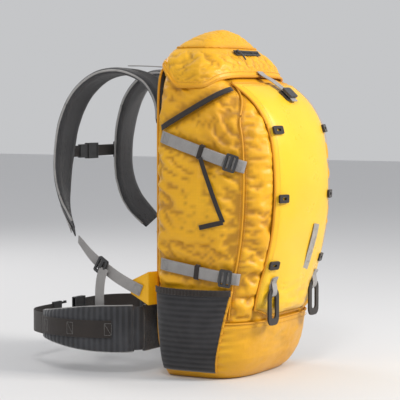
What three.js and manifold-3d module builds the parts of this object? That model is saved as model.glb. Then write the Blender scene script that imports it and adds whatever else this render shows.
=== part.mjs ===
// Ski backpack: a top-loading bag with a hinged lid, a framed back with shoulder straps and a hip belt,
// and side straps that carry skis. Millimetres, +Z up, +Y is the way the wearer faces, +X the wearer's right.
// The origin is the centre of the flat base. Depths are measured from the plane of the bag's back.
import * as THREE from "three";
import { mergeVertices } from "three/addons/utils/BufferGeometryUtils.js";
import Module from "manifold-3d";

const wasm = await Module();
wasm.setup();

// Driving dimensions
const BACK_Y = 70; // the plane of the bag's back
const BAG_TOP = 515;
const WALL = 5; // the bag's wall, with its lining
const LID_WALL = 3.5;
const FIT = 0.5; // gap between pieces that touch
const SKIN_GAP = 1.5; // gap under a piece that lies on the curved bag
const BOOT_TOP = 98; // height of the reinforced base
const BOOT_THICK = 3;
const BOARD_THICK = 12; // padded back panel
const WEBBING_THICK = 1.6;
const HINGE = { depth: -2, z: 529 }; // the lid's hinge line, along X
const FRONT_ROUNDING = 3.2; // superellipse exponents of the bag's plan
const BACK_ROUNDING = 6;

// Bag outline: height, then half width or depth in front of the back plane
const HALF_WIDTH = [
  [0, 108], [12, 120], [35, 132], [70, 140], [110, 146], [200, 152],
  [300, 155], [390, 151], [440, 144], [480, 132], [515, 116],
];
const DEPTH = [
  [0, 140], [12, 153], [35, 165], [70, 173], [110, 181], [155, 190], [200, 204], [250, 215],
  [310, 220], [370, 218], [410, 212], [440, 199], [465, 180], [489, 150], [505, 128], [515, 112],
];
const BAG_LEVELS = [3.6, 12, 22, 35, 55, 80, 110, 155, 200, 250, 310, 370, 410, 440, 465, 489, 505, BAG_TOP];
const LINING_LEVELS = [22, 35, 80, 155, 250, 370, 440, 465, 489, 505, BAG_TOP];

// Lid outline
const LID_HALF = [
  [480, 139], [500, 134], [520, 127], [535, 117], [548, 101], [560, 83], [571, 64], [580, 42], [586, 16],
];
const LID_FRONT = [
  [480, 134], [500, 132], [520, 126], [535, 116], [548, 102], [560, 92], [571, 83], [580, 75], [586, 67],
];
const LID_REAR = [
  [480, 1], [528, 1], [540, 3], [548, 6], [560, 14], [571, 27], [580, 43], [586, 57],
];
const LID_LEVELS = [488, 500, 515, 530, 540, 549, 558, 567, 575, 582, 586];

const RING_POINTS = 36;

// Materials
const paint = (color, roughness, metalness = 0) =>
  new THREE.MeshStandardMaterial({ color, roughness, metalness });
const yellowFabric = paint(0xe8a90c, 0.7);
const panelFabric = paint(0xf4c63a, 0.55);
const stretchFabric = paint(0x2f2f33, 0.9);
const paddedMesh = paint(0x45464a, 0.95);
const greyWebbing = paint(0x9b9a98, 0.8);
const darkWebbing = paint(0x2b2523, 0.85);
const blackPlastic = paint(0x1b1b1d, 0.45);
const frameSheetPlastic = paint(0xdadad4, 0.5);
const zipTape = paint(0x2a2622, 0.8);
const cordFabric = paint(0x3a3a3c, 0.85);

const pack = new THREE.Group();

function add(name, geometry, material, parent = pack) {
  const mesh = new THREE.Mesh(geometry, material);
  mesh.name = name;
  parent.add(mesh);
  return mesh;
}

// ---------- curves and closed surfaces ----------

// Smooth value at height z from a list of [z, value], with slopes taken from the neighbours
function at(table, z) {
  const last = table.length - 1;
  if (z <= table[0][0]) return table[0][1];
  if (z >= table[last][0]) return table[last][1];
  const i = table.findIndex((row) => row[0] > z) - 1;
  const slope = (k) => {
    const a = table[Math.max(k - 1, 0)];
    const b = table[Math.min(k + 1, last)];
    return (b[1] - a[1]) / (b[0] - a[0]);
  };
  const [z0, v0] = table[i];
  const [z1, v1] = table[i + 1];
  const h = z1 - z0;
  const s = (z - z0) / h;
  return (
    v0 * (1 + 2 * s) * (1 - s) ** 2 +
    slope(i) * h * s * (1 - s) ** 2 +
    v1 * s * s * (3 - 2 * s) +
    slope(i + 1) * h * s * s * (s - 1)
  );
}

const fromBack = (depth) => BACK_Y - depth;
const vec = (x, y, z) => new THREE.Vector3(x, y, z);

// One closed surface from positions and triangles, facing out
function closedSurface(positions, triangles) {
  const geometry = new THREE.BufferGeometry();
  geometry.setAttribute("position", new THREE.Float32BufferAttribute(positions.flatMap((p) => [p.x, p.y, p.z]), 3));
  let volume = 0;
  for (const [a, b, c] of triangles) {
    volume += positions[a].dot(vec(0, 0, 0).crossVectors(positions[b], positions[c]));
  }
  geometry.setIndex(triangles.flatMap(([a, b, c]) => (volume < 0 ? [a, c, b] : [a, b, c])));
  return geometry;
}

// A solid through closed rings of equal count, with flat ends
function loft(rings) {
  const count = rings[0].length;
  const positions = rings.flat();
  const triangles = [];
  for (let r = 0; r + 1 < rings.length; r++) {
    for (let i = 0; i < count; i++) {
      const a = r * count + i;
      const b = r * count + ((i + 1) % count);
      triangles.push([a, b, b + count], [a, b + count, a + count]);
    }
  }
  for (const [first, flip] of [[0, true], [(rings.length - 1) * count, false]]) {
    const centre = positions.length;
    const sum = vec(0, 0, 0);
    for (let i = 0; i < count; i++) sum.add(positions[first + i]);
    positions.push(sum.divideScalar(count));
    for (let i = 0; i < count; i++) {
      const a = first + i;
      const b = first + ((i + 1) % count);
      triangles.push(flip ? [centre, b, a] : [centre, a, b]);
    }
  }
  return closedSurface(positions, triangles);
}

// A plan outline that is squarer at the back than at the front
function ring(z, half, front, rear) {
  const mid = (front + rear) / 2;
  const deep = (front - rear) / 2;
  return Array.from({ length: RING_POINTS }, (_, i) => {
    const turn = (2 * Math.PI * i) / RING_POINTS;
    const c = Math.cos(turn);
    const s = Math.sin(turn);
    const power = 2 / (s > 0 ? BACK_ROUNDING : FRONT_ROUNDING);
    const across = Math.sign(c) * Math.abs(c) ** power;
    const along = Math.sign(s) * Math.abs(s) ** power;
    return vec(half * across, fromBack(mid - deep * along), z);
  });
}

const bagRing = (z, grow) => ring(z, at(HALF_WIDTH, z) + grow, at(DEPTH, z) + grow, -grow);
const lidRing = (z, grow, up = 0) =>
  ring(z + up, at(LID_HALF, z) + grow, at(LID_FRONT, z) + grow, at(LID_REAR, z) - grow);

// ---------- booleans ----------

function solidOf(geometry) {
  const bare = geometry.index ? geometry.clone() : geometry;
  bare.deleteAttribute("normal");
  bare.deleteAttribute("uv");
  const merged = mergeVertices(bare, 1e-4);
  return new wasm.Manifold(
    new wasm.Mesh({
      numProp: 3,
      vertProperties: new Float32Array(merged.attributes.position.array),
      triVerts: new Uint32Array(merged.index.array),
    }),
  );
}

function geometryOf(solid) {
  const mesh = solid.getMesh();
  const geometry = new THREE.BufferGeometry();
  geometry.setAttribute("position", new THREE.BufferAttribute(new Float32Array(mesh.vertProperties), 3));
  geometry.setIndex(new THREE.BufferAttribute(new Uint32Array(mesh.triVerts), 1));
  return geometry;
}

const cut = (whole, ...tools) =>
  geometryOf(tools.reduce((left, tool) => left.subtract(solidOf(tool)), solidOf(whole)));

function box(width, deep, tall, x = 0, y = 0, z = 0) {
  return new THREE.BoxGeometry(width, deep, tall).translate(x, y, z);
}

// ---------- pieces that lie on the bag ----------

// How far a point is outside the bag's plan: 1 on the surface
function plan(x, y, z) {
  const depth = at(DEPTH, z);
  const along = (y - fromBack(depth / 2)) / (depth / 2);
  const rounding = along > 0 ? BACK_ROUNDING : FRONT_ROUNDING;
  return Math.abs(x / at(HALF_WIDTH, z)) ** rounding + Math.abs(along) ** rounding;
}

function lifted(x, y, z, offset) {
  const h = 0.5;
  const normal = vec(
    plan(x + h, y, z) - plan(x - h, y, z),
    plan(x, y + h, z) - plan(x, y - h, z),
    plan(x, y, z + h) - plan(x, y, z - h),
  ).normalize();
  return { point: vec(x, y, z).addScaledVector(normal, offset), normal };
}

// A point on the bag's side at a depth and height. side is -1 for the wearer's left, 1 for the right
function onSide(side, depth, z, offset) {
  const total = at(DEPTH, z);
  const along = (total / 2 - depth) / (total / 2);
  const rounding = along > 0 ? BACK_ROUNDING : FRONT_ROUNDING;
  const x = side * at(HALF_WIDTH, z) * (1 - Math.min(Math.abs(along), 1) ** rounding) ** (1 / rounding);
  return lifted(x, fromBack(depth), z, offset);
}

function onFront(x, z, offset) {
  const half = at(DEPTH, z) / 2;
  const share = (1 - Math.abs(x / at(HALF_WIDTH, z)) ** FRONT_ROUNDING) ** (1 / FRONT_ROUNDING);
  return lifted(x, fromBack(half + half * share), z, offset);
}

// A sheet with thickness over a grid. place(s, t, offset) gives a point; inner and outer give its two faces
function sheet(columns, rows, place, inner, outer) {
  const faces = [inner, outer].map((offset) => {
    const grid = [];
    for (let r = 0; r <= rows; r++) {
      for (let c = 0; c <= columns; c++) {
        grid.push(place(c / columns, r / rows, offset(c / columns, r / rows)));
      }
    }
    return grid;
  });
  const stride = columns + 1;
  const outerStart = faces[0].length;
  const triangles = [];
  for (let r = 0; r < rows; r++) {
    for (let c = 0; c < columns; c++) {
      const a = r * stride + c;
      const quad = [a, a + 1, a + stride + 1, a + stride];
      triangles.push([quad[0], quad[2], quad[1]], [quad[0], quad[3], quad[2]]);
      const top = quad.map((k) => k + outerStart);
      triangles.push([top[0], top[1], top[2]], [top[0], top[2], top[3]]);
    }
  }
  const border = [];
  for (let c = 0; c < columns; c++) border.push(c);
  for (let r = 0; r < rows; r++) border.push(r * stride + columns);
  for (let c = columns; c > 0; c--) border.push(rows * stride + c);
  for (let r = rows; r > 0; r--) border.push(r * stride);
  border.forEach((a, i) => {
    const b = border[(i + 1) % border.length];
    triangles.push([a, b, b + outerStart], [a, b + outerStart, a + outerStart]);
  });
  return closedSurface(faces.flat(), triangles);
}

// A strap or pad through points, with its outer face along normals. Widths and thicknesses are per point
function ribbon(points, normals, widths, thicknesses, chamfer = 0) {
  const rings = points.map((p, i) => {
    const before = points[Math.max(i - 1, 0)];
    const after = points[Math.min(i + 1, points.length - 1)];
    const tangent = vec(0, 0, 0).subVectors(after, before).normalize();
    const sideways = vec(0, 0, 0).crossVectors(tangent, normals[i]).normalize();
    const outward = vec(0, 0, 0).crossVectors(sideways, tangent).normalize();
    const w = widths[i] / 2;
    const t = thicknesses[i] / 2;
    const outline = chamfer
      ? [[w - chamfer, t], [w, t - chamfer], [w, chamfer - t], [w - chamfer, -t],
         [chamfer - w, -t], [-w, chamfer - t], [-w, t - chamfer], [chamfer - w, t]]
      : [[w, t], [w, -t], [-w, -t], [-w, t]];
    return outline.map(([a, b]) => p.clone().addScaledVector(sideways, a).addScaledVector(outward, b));
  });
  return loft(rings);
}

// Evenly spaced samples of smooth curves through control rows of [x, y, z, nx, ny, nz, width, thickness]
function pad(rows, steps, chamfer) {
  const pick = (from) => new THREE.CatmullRomCurve3(rows.map((r) => vec(...r.slice(from, from + 3))), false, "centripetal");
  const sizes = new THREE.SplineCurve(rows.map((r) => new THREE.Vector2(r[6], r[7])));
  const path = pick(0);
  const outward = new THREE.CatmullRomCurve3(rows.map((r) => vec(...r.slice(3, 6))), false, "catmullrom");
  const shares = Array.from({ length: steps + 1 }, (_, i) => i / steps);
  return ribbon(
    shares.map((s) => path.getPoint(s)),
    shares.map((s) => outward.getPoint(s).normalize()),
    shares.map((s) => sizes.getPoint(s).x),
    shares.map((s) => sizes.getPoint(s).y),
    chamfer,
  );
}

// Webbing laid on the bag's side between two [depth, height] ends
function sideStrap(side, from, to, width, offset, steps, thick = WEBBING_THICK) {
  const spots = Array.from({ length: steps + 1 }, (_, i) => {
    const s = i / steps;
    return onSide(side, from[0] + (to[0] - from[0]) * s, from[1] + (to[1] - from[1]) * s, offset + thick / 2);
  });
  return ribbon(
    spots.map((s) => s.point),
    spots.map((s) => s.normal),
    spots.map(() => width),
    spots.map(() => thick),
  );
}

// A flat plate with rounded corners, drawn across X and up Z, from y to y + thick
function plate(width, tall, radius, thick, x, y, z, holes = []) {
  const outline = (w, h, r, cx, cz, path) => {
    const l = cx - w / 2;
    const b = cz - h / 2;
    path.moveTo(l + r, b);
    path.lineTo(l + w - r, b);
    path.absarc(l + w - r, b + r, r, -Math.PI / 2, 0, false);
    path.lineTo(l + w, b + h - r);
    path.absarc(l + w - r, b + h - r, r, 0, Math.PI / 2, false);
    path.lineTo(l + r, b + h);
    path.absarc(l + r, b + h - r, r, Math.PI / 2, Math.PI, false);
    path.lineTo(l, b + r);
    path.absarc(l + r, b + r, r, Math.PI, 1.5 * Math.PI, false);
    return path;
  };
  const shape = outline(width, tall, radius, 0, 0, new THREE.Shape());
  for (const [w, h, r, cx, cz] of holes) shape.holes.push(outline(w, h, r, cx, cz, new THREE.Path()));
  const geometry = new THREE.ExtrudeGeometry(shape, { depth: thick, bevelEnabled: false, curveSegments: 2 });
  return geometry.rotateX(Math.PI / 2).translate(x, y + thick, z);
}

// Turns a piece drawn with its face up +Y, its length along Z and its width along X to a spot on a surface
function stand(geometry, point, normal, lengthwise) {
  const sideways = vec(0, 0, 0).crossVectors(normal, lengthwise).normalize();
  const up = vec(0, 0, 0).crossVectors(sideways, normal).normalize();
  return geometry.applyMatrix4(new THREE.Matrix4().makeBasis(sideways, normal, up).setPosition(point));
}

// Plate that webbing threads through: two slots either side of a bar
function ladderLock(webbing) {
  const slot = [webbing + 1.5, 4.5, 1.5];
  return plate(webbing + 9, 21, 3, 4, 0, 0, 0, [[...slot, 0, 4.6], [...slot, 0, -4.6]]);
}

// ---------- bag ----------

function makeBag() {
  const outside = loft(BAG_LEVELS.map((z) => bagRing(z, 0)));
  const inside = loft([
    bagRing(12, -WALL - 6),
    ...LINING_LEVELS.map((z) => bagRing(z, -WALL)),
    bagRing(BAG_TOP, -WALL).map((p) => p.setZ(BAG_TOP + 10)),
  ]);
  add("bag_body", cut(outside, inside), yellowFabric);

  const bootLevels = [12, 22, 35, 55, 80];
  const bootOutside = loft([
    bagRing(0, 1),
    ...bootLevels.map((z) => bagRing(z, BOOT_THICK)),
    bagRing(BOOT_TOP, BOOT_THICK),
  ]);
  const bootInside = loft([
    bagRing(BAG_LEVELS[0], FIT).map((p) => p.setZ(BAG_LEVELS[0] - FIT)),
    ...bootLevels.map((z) => bagRing(z, FIT)),
    bagRing(110, FIT),
  ]);
  add("base_boot", cut(bootOutside, bootInside, box(400, 20, 300, 0, fromBack(-10) + 0.2, 60)), yellowFabric);
}

// Smooth reinforced front panel, a little proud of the bag
const PANEL = { half: 101, bottom: 106, top: 494, edge: 3.5, crown: 4.5 };
const panelFace = (x, z) => {
  const across = 1 - Math.min(Math.abs(x / PANEL.half), 1) ** 2;
  const up = Math.sin((Math.PI * (z - PANEL.bottom)) / (PANEL.top - PANEL.bottom));
  return SKIN_GAP + PANEL.edge + PANEL.crown * across * Math.max(up, 0) ** 0.5;
};

function makeFrontPanel() {
  const x = (s) => PANEL.half * (2 * s - 1);
  const z = (t) => PANEL.bottom + (PANEL.top - PANEL.bottom) * t;
  add(
    "front_panel",
    sheet(10, 14, (s, t, offset) => onFront(x(s), z(t), offset).point, () => SKIN_GAP, (s, t) => panelFace(x(s), z(t))),
    panelFabric,
  );
}

const SIDES = [["left", -1], ["right", 1]];
const LASH_HEIGHTS = [415, 305, 196];
const LASH_X = 88;

function makeLashTabs() {
  for (const [name, side] of SIDES) {
    LASH_HEIGHTS.forEach((z, i) => {
      const spot = onFront(side * LASH_X, z, panelFace(LASH_X, z) + 1.2);
      const tab = plate(24, 14, 3, 3.6, 0, 0, 0, [[10, 4.5, 2, 0, 0]]);
      add(`lash_tab_${name}_${i + 1}`, stand(tab, spot.point, spot.normal, vec(0, 0, 1)), darkWebbing);
    });
  }
}

// Stretch pocket on each side: a thin sheet that stands off the bag at its open top
const POCKET = { rear: 16, front: 150, frontLow: 112, bottom: 16, top: 154, skin: 2.6, mouth: 11 };
const POCKET_INNER = BOOT_THICK + 1.2;

function makeSidePockets() {
  for (const [name, side] of SIDES) {
    const place = (s, t, offset) => {
      const front = POCKET.frontLow + (POCKET.front - POCKET.frontLow) * t;
      return onSide(side, POCKET.rear + (front - POCKET.rear) * s, POCKET.bottom + (POCKET.top - POCKET.bottom) * t, offset).point;
    };
    const bulge = (s, t) => POCKET.mouth * Math.sin(Math.PI * s) ** 0.8 * Math.min(t * 1.6, 1);
    const inner = (s, t) => POCKET_INNER + bulge(s, t);
    add(`side_pocket_${name}`, sheet(10, 8, place, inner, (s, t) => inner(s, t) + POCKET.skin), stretchFabric);
  }
}

// ---------- side straps ----------

const STRAP_WIDTH = 20;
const LAY = SKIN_GAP;
const COMPRESSION = {
  upper: { rear: [24, 406], front: [178, 357] },
  lower: { rear: [24, 194], front: [164, 173] },
};

function makeSideStraps() {
  for (const [name, side] of SIDES) {
    for (const [level, { rear, front }] of Object.entries(COMPRESSION)) {
      add(`${level}_compression_strap_${name}`, sideStrap(side, rear, front, STRAP_WIDTH, LAY, 10), greyWebbing);
      const share = 0.86;
      const depth = rear[0] + (front[0] - rear[0]) * share;
      const z = rear[1] + (front[1] - rear[1]) * share;
      const spot = onSide(side, depth, z, LAY + WEBBING_THICK + 1.6);
      const ahead = onSide(side, depth + 5, z + ((front[1] - rear[1]) / (front[0] - rear[0])) * 5, LAY);
      const along = ahead.point.sub(onSide(side, depth, z, LAY).point);
      add(`${level}_strap_buckle_${name}`, stand(ladderLock(STRAP_WIDTH), spot.point, spot.normal, along), blackPlastic);
    }
    add(`lid_side_strap_${name}`, sideStrap(side, [24, 420], [137, 483], 10, LAY + 1.4, 12), darkWebbing);
  }
}

// ---------- ice axe loops ----------

const AXE_LOOP = { x: 78, hinge: 150, depth: 199, wide: 38, tall: 60, band: 11, thick: 3 };

function makeAxeLoops() {
  for (const [name, side] of SIDES) {
    const hole = [AXE_LOOP.wide - 2 * AXE_LOOP.band, AXE_LOOP.tall - 2 * AXE_LOOP.band, 6, 0, 0];
    const loop = plate(AXE_LOOP.wide, AXE_LOOP.tall, 12, AXE_LOOP.thick, side * AXE_LOOP.x,
      fromBack(AXE_LOOP.depth), AXE_LOOP.hinge + 3 - AXE_LOOP.tall / 2, [hole]);
    add(`ice_axe_loop_${name}`, loop, greyWebbing);
  }
}

// ---------- collar, cord and cord lock ----------

const COLLAR = {
  mid: 52, wall: 3, base: BAG_TOP + FIT, top: 541,
  baseHalf: 112, waistHalf: 92, topHalf: 76,
  baseDeep: 49, waistDeep: 36, topDeep: 24,
};
const CORD_Z = 533;
const CORD_RADIUS = 1.5;
const LOCK_DEPTH = COLLAR.mid + COLLAR.topDeep + 10;

function makeCollar() {
  const { mid, wall, base, top, baseHalf, waistHalf, topHalf, baseDeep, waistDeep, topDeep } = COLLAR;
  const levels = [[base, baseHalf, baseDeep], [520, waistHalf, waistDeep], [525, topHalf, topDeep], [top, topHalf, topDeep]];
  const hoops = (grow, reach) => levels.map(([z, half, deep], i) => {
    const end = i === 0 ? -reach : i === levels.length - 1 ? reach : 0;
    return ring(z + end, half + grow, mid + deep + grow, mid - deep - grow);
  });
  add("snow_collar", cut(loft(hoops(0, 0)), loft(hoops(-wall, 1))), yellowFabric);

  // The cord rings the collar's hem and stands off it at the front, where it passes through its lock
  const steps = 36;
  const sides = 6;
  const path = Array.from({ length: steps }, (_, i) => {
    const turn = (2 * Math.PI * i) / steps - Math.PI / 2;
    const away = 3 + 7 * Math.max(0, -Math.sin(turn)) ** 12;
    const power = 2 / (Math.sin(turn) > 0 ? BACK_ROUNDING : FRONT_ROUNDING);
    const across = Math.sign(Math.cos(turn)) * Math.abs(Math.cos(turn)) ** power;
    const along = Math.sign(Math.sin(turn)) * Math.abs(Math.sin(turn)) ** power;
    return vec((topHalf + 3) * across, fromBack(mid - (topDeep + away) * along), CORD_Z);
  });
  const positions = path.flatMap((p, i) => {
    const ahead = path[(i + 1) % steps].clone().sub(path[(i + steps - 1) % steps]).normalize();
    const outward = vec(ahead.y, -ahead.x, 0);
    return Array.from({ length: sides }, (_, k) => {
      const a = (2 * Math.PI * k) / sides;
      return p.clone().addScaledVector(outward, CORD_RADIUS * Math.cos(a)).setZ(p.z + CORD_RADIUS * Math.sin(a));
    });
  });
  const triangles = [];
  for (let i = 0; i < steps; i++) {
    for (let k = 0; k < sides; k++) {
      const a = i * sides + k;
      const b = i * sides + ((k + 1) % sides);
      const c = ((i + 1) % steps) * sides + ((k + 1) % sides);
      const d = ((i + 1) % steps) * sides + k;
      triangles.push([a, b, c], [a, c, d]);
    }
  }
  add("collar_drawcord", closedSurface(positions, triangles), cordFabric);

  // Lock: the cord runs through the bore; the button stands in a well above it
  const y = fromBack(LOCK_DEPTH);
  const bore = new THREE.CylinderGeometry(2.6, 2.6, 40, 12).rotateZ(Math.PI / 2).translate(0, y, CORD_Z);
  const well = new THREE.CylinderGeometry(4.2, 4.2, 10, 16).rotateX(Math.PI / 2).translate(0, y, CORD_Z + 8.2);
  add("cord_lock_body", cut(box(14, 10, 16, 0, y, CORD_Z), bore, well), blackPlastic);
  const button = new THREE.CylinderGeometry(3.6, 3.6, 6, 16).rotateX(Math.PI / 2).translate(0, y, CORD_Z + 9.6);
  add("cord_lock_button", button, blackPlastic);
}

// ---------- lid ----------

function makeLid() {
  const outside = loft(LID_LEVELS.map((z) => lidRing(z, 0)));
  const inside = loft([
    lidRing(LID_LEVELS[0], -LID_WALL, -12),
    ...LID_LEVELS.map((z) => lidRing(z, -LID_WALL, -LID_WALL - 0.5)),
  ]);
  const bagClear = loft(BAG_LEVELS.slice(-6).map((z) => bagRing(z, 4)));
  // the skirt is cut away behind, below the hinge, so that the lid can turn
  const wedge = new THREE.ExtrudeGeometry(
    new THREE.Shape([
      new THREE.Vector2(fromBack(-20), HINGE.z - 1),
      new THREE.Vector2(fromBack(8), HINGE.z - 1),
      new THREE.Vector2(fromBack(62), 470),
      new THREE.Vector2(fromBack(-20), 470),
    ]),
    { depth: 400, bevelEnabled: false },
  );
  wedge.applyMatrix4(new THREE.Matrix4().makeBasis(vec(0, 1, 0), vec(0, 0, 1), vec(1, 0, 0)).setPosition(-200, 0, 0));
  add("lid_shell", cut(outside, inside, bagClear, wedge), yellowFabric);
}

// Zip along the lid's front slope: a welt that stands on the lid, and a slider that runs on it
const WELT = { depth: 106.5, z: 546, half: 44, wide: 11, thick: 2.4, tilt: 0.85 };

function makeZip() {
  const outward = vec(0, -Math.sin(WELT.tilt), Math.cos(WELT.tilt));
  const centre = vec(0, fromBack(WELT.depth), WELT.z);
  const welt = plate(2 * WELT.half, WELT.wide, 3, WELT.thick, 0, 0, 0);
  const slope = vec(0, 0, 0).crossVectors(vec(1, 0, 0), outward);
  add("lid_zip", stand(welt, centre, outward, slope), zipTape);
  const slider = plate(8, 7, 2, 2.6, 0, 0, 0);
  const rest = centre.clone().addScaledVector(outward, WELT.thick + 0.4).setX(-WELT.half + 7);
  add("lid_zip_slider", stand(slider, rest, outward, slope), blackPlastic);
}

// Closure: the lid's tongue lies over a plate on the front panel and lifts straight off it
function makeClosure() {
  const base = onFront(0, 467, panelFace(0, 467) + 1);
  const ahead = onFront(0, 472, 0).point.sub(onFront(0, 467, 0).point);
  add("closure_plate_lower", stand(plate(30, 24, 4, 3, 0, 0, 0), base.point, base.normal, ahead), blackPlastic);
  const onLid = { point: vec(0, fromBack(131.5), 515), normal: vec(0, -1, 0.4).normalize() };
  const spots = [onLid, onFront(0, 500, 9.5), ...[490, 480, 472, 464, 456].map((z) => onFront(0, z, panelFace(0, z) + 6.4))];
  const along = (value) => spots.map(() => value);
  const tongue = ribbon(spots.map((s) => s.point), spots.map((s) => s.normal), along(20), along(WEBBING_THICK));
  add("lid_closure_tongue", tongue, greyWebbing);
  const top = onFront(0, 467, panelFace(0, 467) + 8);
  add("closure_plate_upper", stand(plate(28, 22, 4, 3.4, 0, 0, 0), top.point, top.normal, ahead), blackPlastic);
}

// ---------- back and frame ----------

function makeBack() {
  const face = fromBack(-(FIT + 0.1));
  add("back_panel", plate(236, 497, 30, BOARD_THICK, 0, face, 30 + 497 / 2), paddedMesh);
  add("frame_sheet", plate(150, 460, 20, 1.8, 0, fromBack(WALL + 4), 34 + 460 / 2), frameSheetPlastic);
  const front = fromBack(-(BOARD_THICK + 1.4));
  add("lumbar_pad", plate(164, 88, 22, 20, 0, front, 170), paddedMesh);
}

// Carry loop at the top of the back, hanging down
const HAUL = { hinge: 512, wide: 60, tall: 46, band: 12, thick: 3, depth: -15 };

function makeHaulLoop() {
  const hole = [HAUL.wide - 2 * HAUL.band, HAUL.tall - 2 * HAUL.band, 7, 0, 0];
  add("haul_loop", plate(HAUL.wide, HAUL.tall, 14, HAUL.thick, 0, fromBack(HAUL.depth), HAUL.hinge + 3 - HAUL.tall / 2, [hole]), darkWebbing);
}

// ---------- shoulder straps ----------

// rows: x, distance behind the back plane, z, outer normal x y z, width, thickness
const SHOULDER = [
  [62, 21.5, 428, 0, -1, 0, 54, 11], [63, 24, 466, 0, -0.95, 0.3, 56, 12], [66, 47, 500, 0, -0.5, 0.87, 60, 13],
  [73, 90, 516, 0, 0.1, 1, 64, 13], [82, 135, 508, 0, 0.6, 0.8, 66, 13], [90, 172, 476, 0, 0.88, 0.47, 66, 13],
  [96, 194, 428, 0, 0.98, 0.2, 64, 13], [99, 203, 375, 0, 1, 0, 60, 12], [104, 203, 325, 0.1, 1, -0.1, 54, 12],
  [115, 190, 280, 0.35, 0.9, -0.2, 46, 11], [132, 160, 240, 0.65, 0.7, -0.3, 36, 10],
];

function makeShoulderStraps() {
  const placed = (side, rows) => rows.map(([x, y, z, nx, ny, nz, w, t]) => [side * x, fromBack(-y), z, side * nx, ny, nz, w, t]);
  for (const [name, side] of SIDES) {
    add(`shoulder_strap_${name}`, pad(placed(side, SHOULDER), 24, 3.5), paddedMesh);
    const webbing = placed(side, [
      [138.5, 148, 227, 0.8, 0.55, -0.3, 20, WEBBING_THICK], [148, 112, 198, 0.95, 0.25, -0.2, 20, WEBBING_THICK],
      [153, 70, 172, 1, 0.05, 0, 20, WEBBING_THICK], [153.5, 40, 157, 1, 0, 0, 20, WEBBING_THICK],
      [152.5, 14, 146, 1, 0, 0, 20, WEBBING_THICK],
    ]);
    add(`shoulder_webbing_${name}`, pad(webbing, 10), greyWebbing);
    const along = vec(side * 5, -42, -26);
    const outward = vec(42, side * 5, 0).multiplyScalar(side);
    const lock = vec(side * 154, fromBack(-91), 185);
    add(`shoulder_ladder_lock_${name}`, stand(ladderLock(20), lock, outward.normalize(), along), blackPlastic);

    // fin: the triangular tab that the webbing ends on, at the bag's lower rear corner
    const fin = new THREE.ExtrudeGeometry(
      new THREE.Shape([
        new THREE.Vector2(fromBack(-2), 122),
        new THREE.Vector2(fromBack(-36), 140),
        new THREE.Vector2(fromBack(-40), 160),
        new THREE.Vector2(fromBack(-2), 178),
      ]),
      { depth: 3, bevelEnabled: false },
    );
    const finX = side > 0 ? 147 : -150;
    fin.applyMatrix4(new THREE.Matrix4().makeBasis(vec(0, 1, 0), vec(0, 0, 1), vec(1, 0, 0)).setPosition(finX, 0, 0));
    add(`strap_fin_${name}`, fin, yellowFabric);

    const lifter = placed(side, [
      [60, 14.6, 522.5, 0, 0, 1, 18, WEBBING_THICK], [64, 40, 524.5, 0, 0, 1, 18, WEBBING_THICK],
      [69, 66, 525.6, 0, 0, 1, 18, WEBBING_THICK], [72, 84, 525.8, 0, 0, 1, 18, WEBBING_THICK],
    ]);
    add(`load_lifter_${name}`, pad(lifter, 5), greyWebbing);
  }
}

// ---------- side-release buckles ----------

const BUCKLE = { thick: 9, body: 24, prong: 17, cavity: 20, wall: 2 };

// Male half, pointing along +X from x = 0, with a slot its webbing slides through
function buckleMale(webbing) {
  const across = webbing + 4;
  const body = box(BUCKLE.body, BUCKLE.thick - 3, across, -BUCKLE.body / 2, 0, 0);
  const slot = box(BUCKLE.body + 2, WEBBING_THICK + 1, webbing + 1, -BUCKLE.body / 2, 0, 0);
  const reach = across / 2 - 2.2;
  const prongs = [-1, 1].map((s) => box(BUCKLE.prong + 1, 3.6, 3.4, BUCKLE.prong / 2 - 0.5, 0, s * (reach - 1.7)));
  const barbs = [-1, 1].map((s) => box(5, 3.6, 3, BUCKLE.prong - 3, 0, s * (reach - 0.4)));
  const joined = [...prongs, ...barbs].reduce((sum, tool) => sum.add(solidOf(tool)), solidOf(body).subtract(solidOf(slot)));
  return geometryOf(joined);
}

// Female half, its mouth at x = 0 and its body along +X, with a bar slot for its webbing at the far end
function buckleFemale(webbing) {
  const across = webbing + 8;
  const long = BUCKLE.cavity + 12;
  const body = box(long, BUCKLE.thick, across, long / 2 + FIT, 0, 0);
  const cavity = box(BUCKLE.cavity, 4.8, across - 2 * BUCKLE.wall, BUCKLE.cavity / 2, 0, 0);
  const windows = [-1, 1].map((s) => box(9, 4.8, 8, BUCKLE.prong - 2, 0, (s * across) / 2));
  const slot = box(3, BUCKLE.thick + 2, webbing + 1, long - 4, 0, 0);
  return cut(body, cavity, ...windows, slot);
}

// ---------- sternum strap ----------

const STERNUM = { depth: -215, z: 375, webbing: 20, slider: 92, maleTip: -8 };

function makeSternumStrap() {
  const y = fromBack(STERNUM.depth);
  const z = STERNUM.z;
  const male = buckleMale(STERNUM.webbing).translate(STERNUM.maleTip, y, z);
  const female = buckleFemale(STERNUM.webbing).translate(STERNUM.maleTip, y, z);
  add("sternum_buckle_male", male, blackPlastic);
  add("sternum_buckle_female", female, blackPlastic);
  const femaleEnd = STERNUM.maleTip + FIT + BUCKLE.cavity + 12;
  const maleEnd = STERNUM.maleTip - 1.2;
  const strip = (from, to) => box(to - from, WEBBING_THICK, STERNUM.webbing, (from + to) / 2, y, z);
  add("sternum_webbing_left", strip(-STERNUM.slider + 7, maleEnd - 21), greyWebbing);
  add("sternum_webbing_right", strip(femaleEnd + FIT, STERNUM.slider - 7), greyWebbing);
  for (const [name, side] of SIDES) {
    const bar = plate(13, 30, 3, 4, side * STERNUM.slider, y - 2, z, [[3, 22, 1, 0, 0]]);
    add(`sternum_slider_${name}`, bar, blackPlastic);
  }
}

// ---------- hip belt ----------

const HIP = { z: 80, tall: 80, core: 130, coreThick: 15, webbing: 38, hingeX: 138, hingeDepth: -24 };
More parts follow.
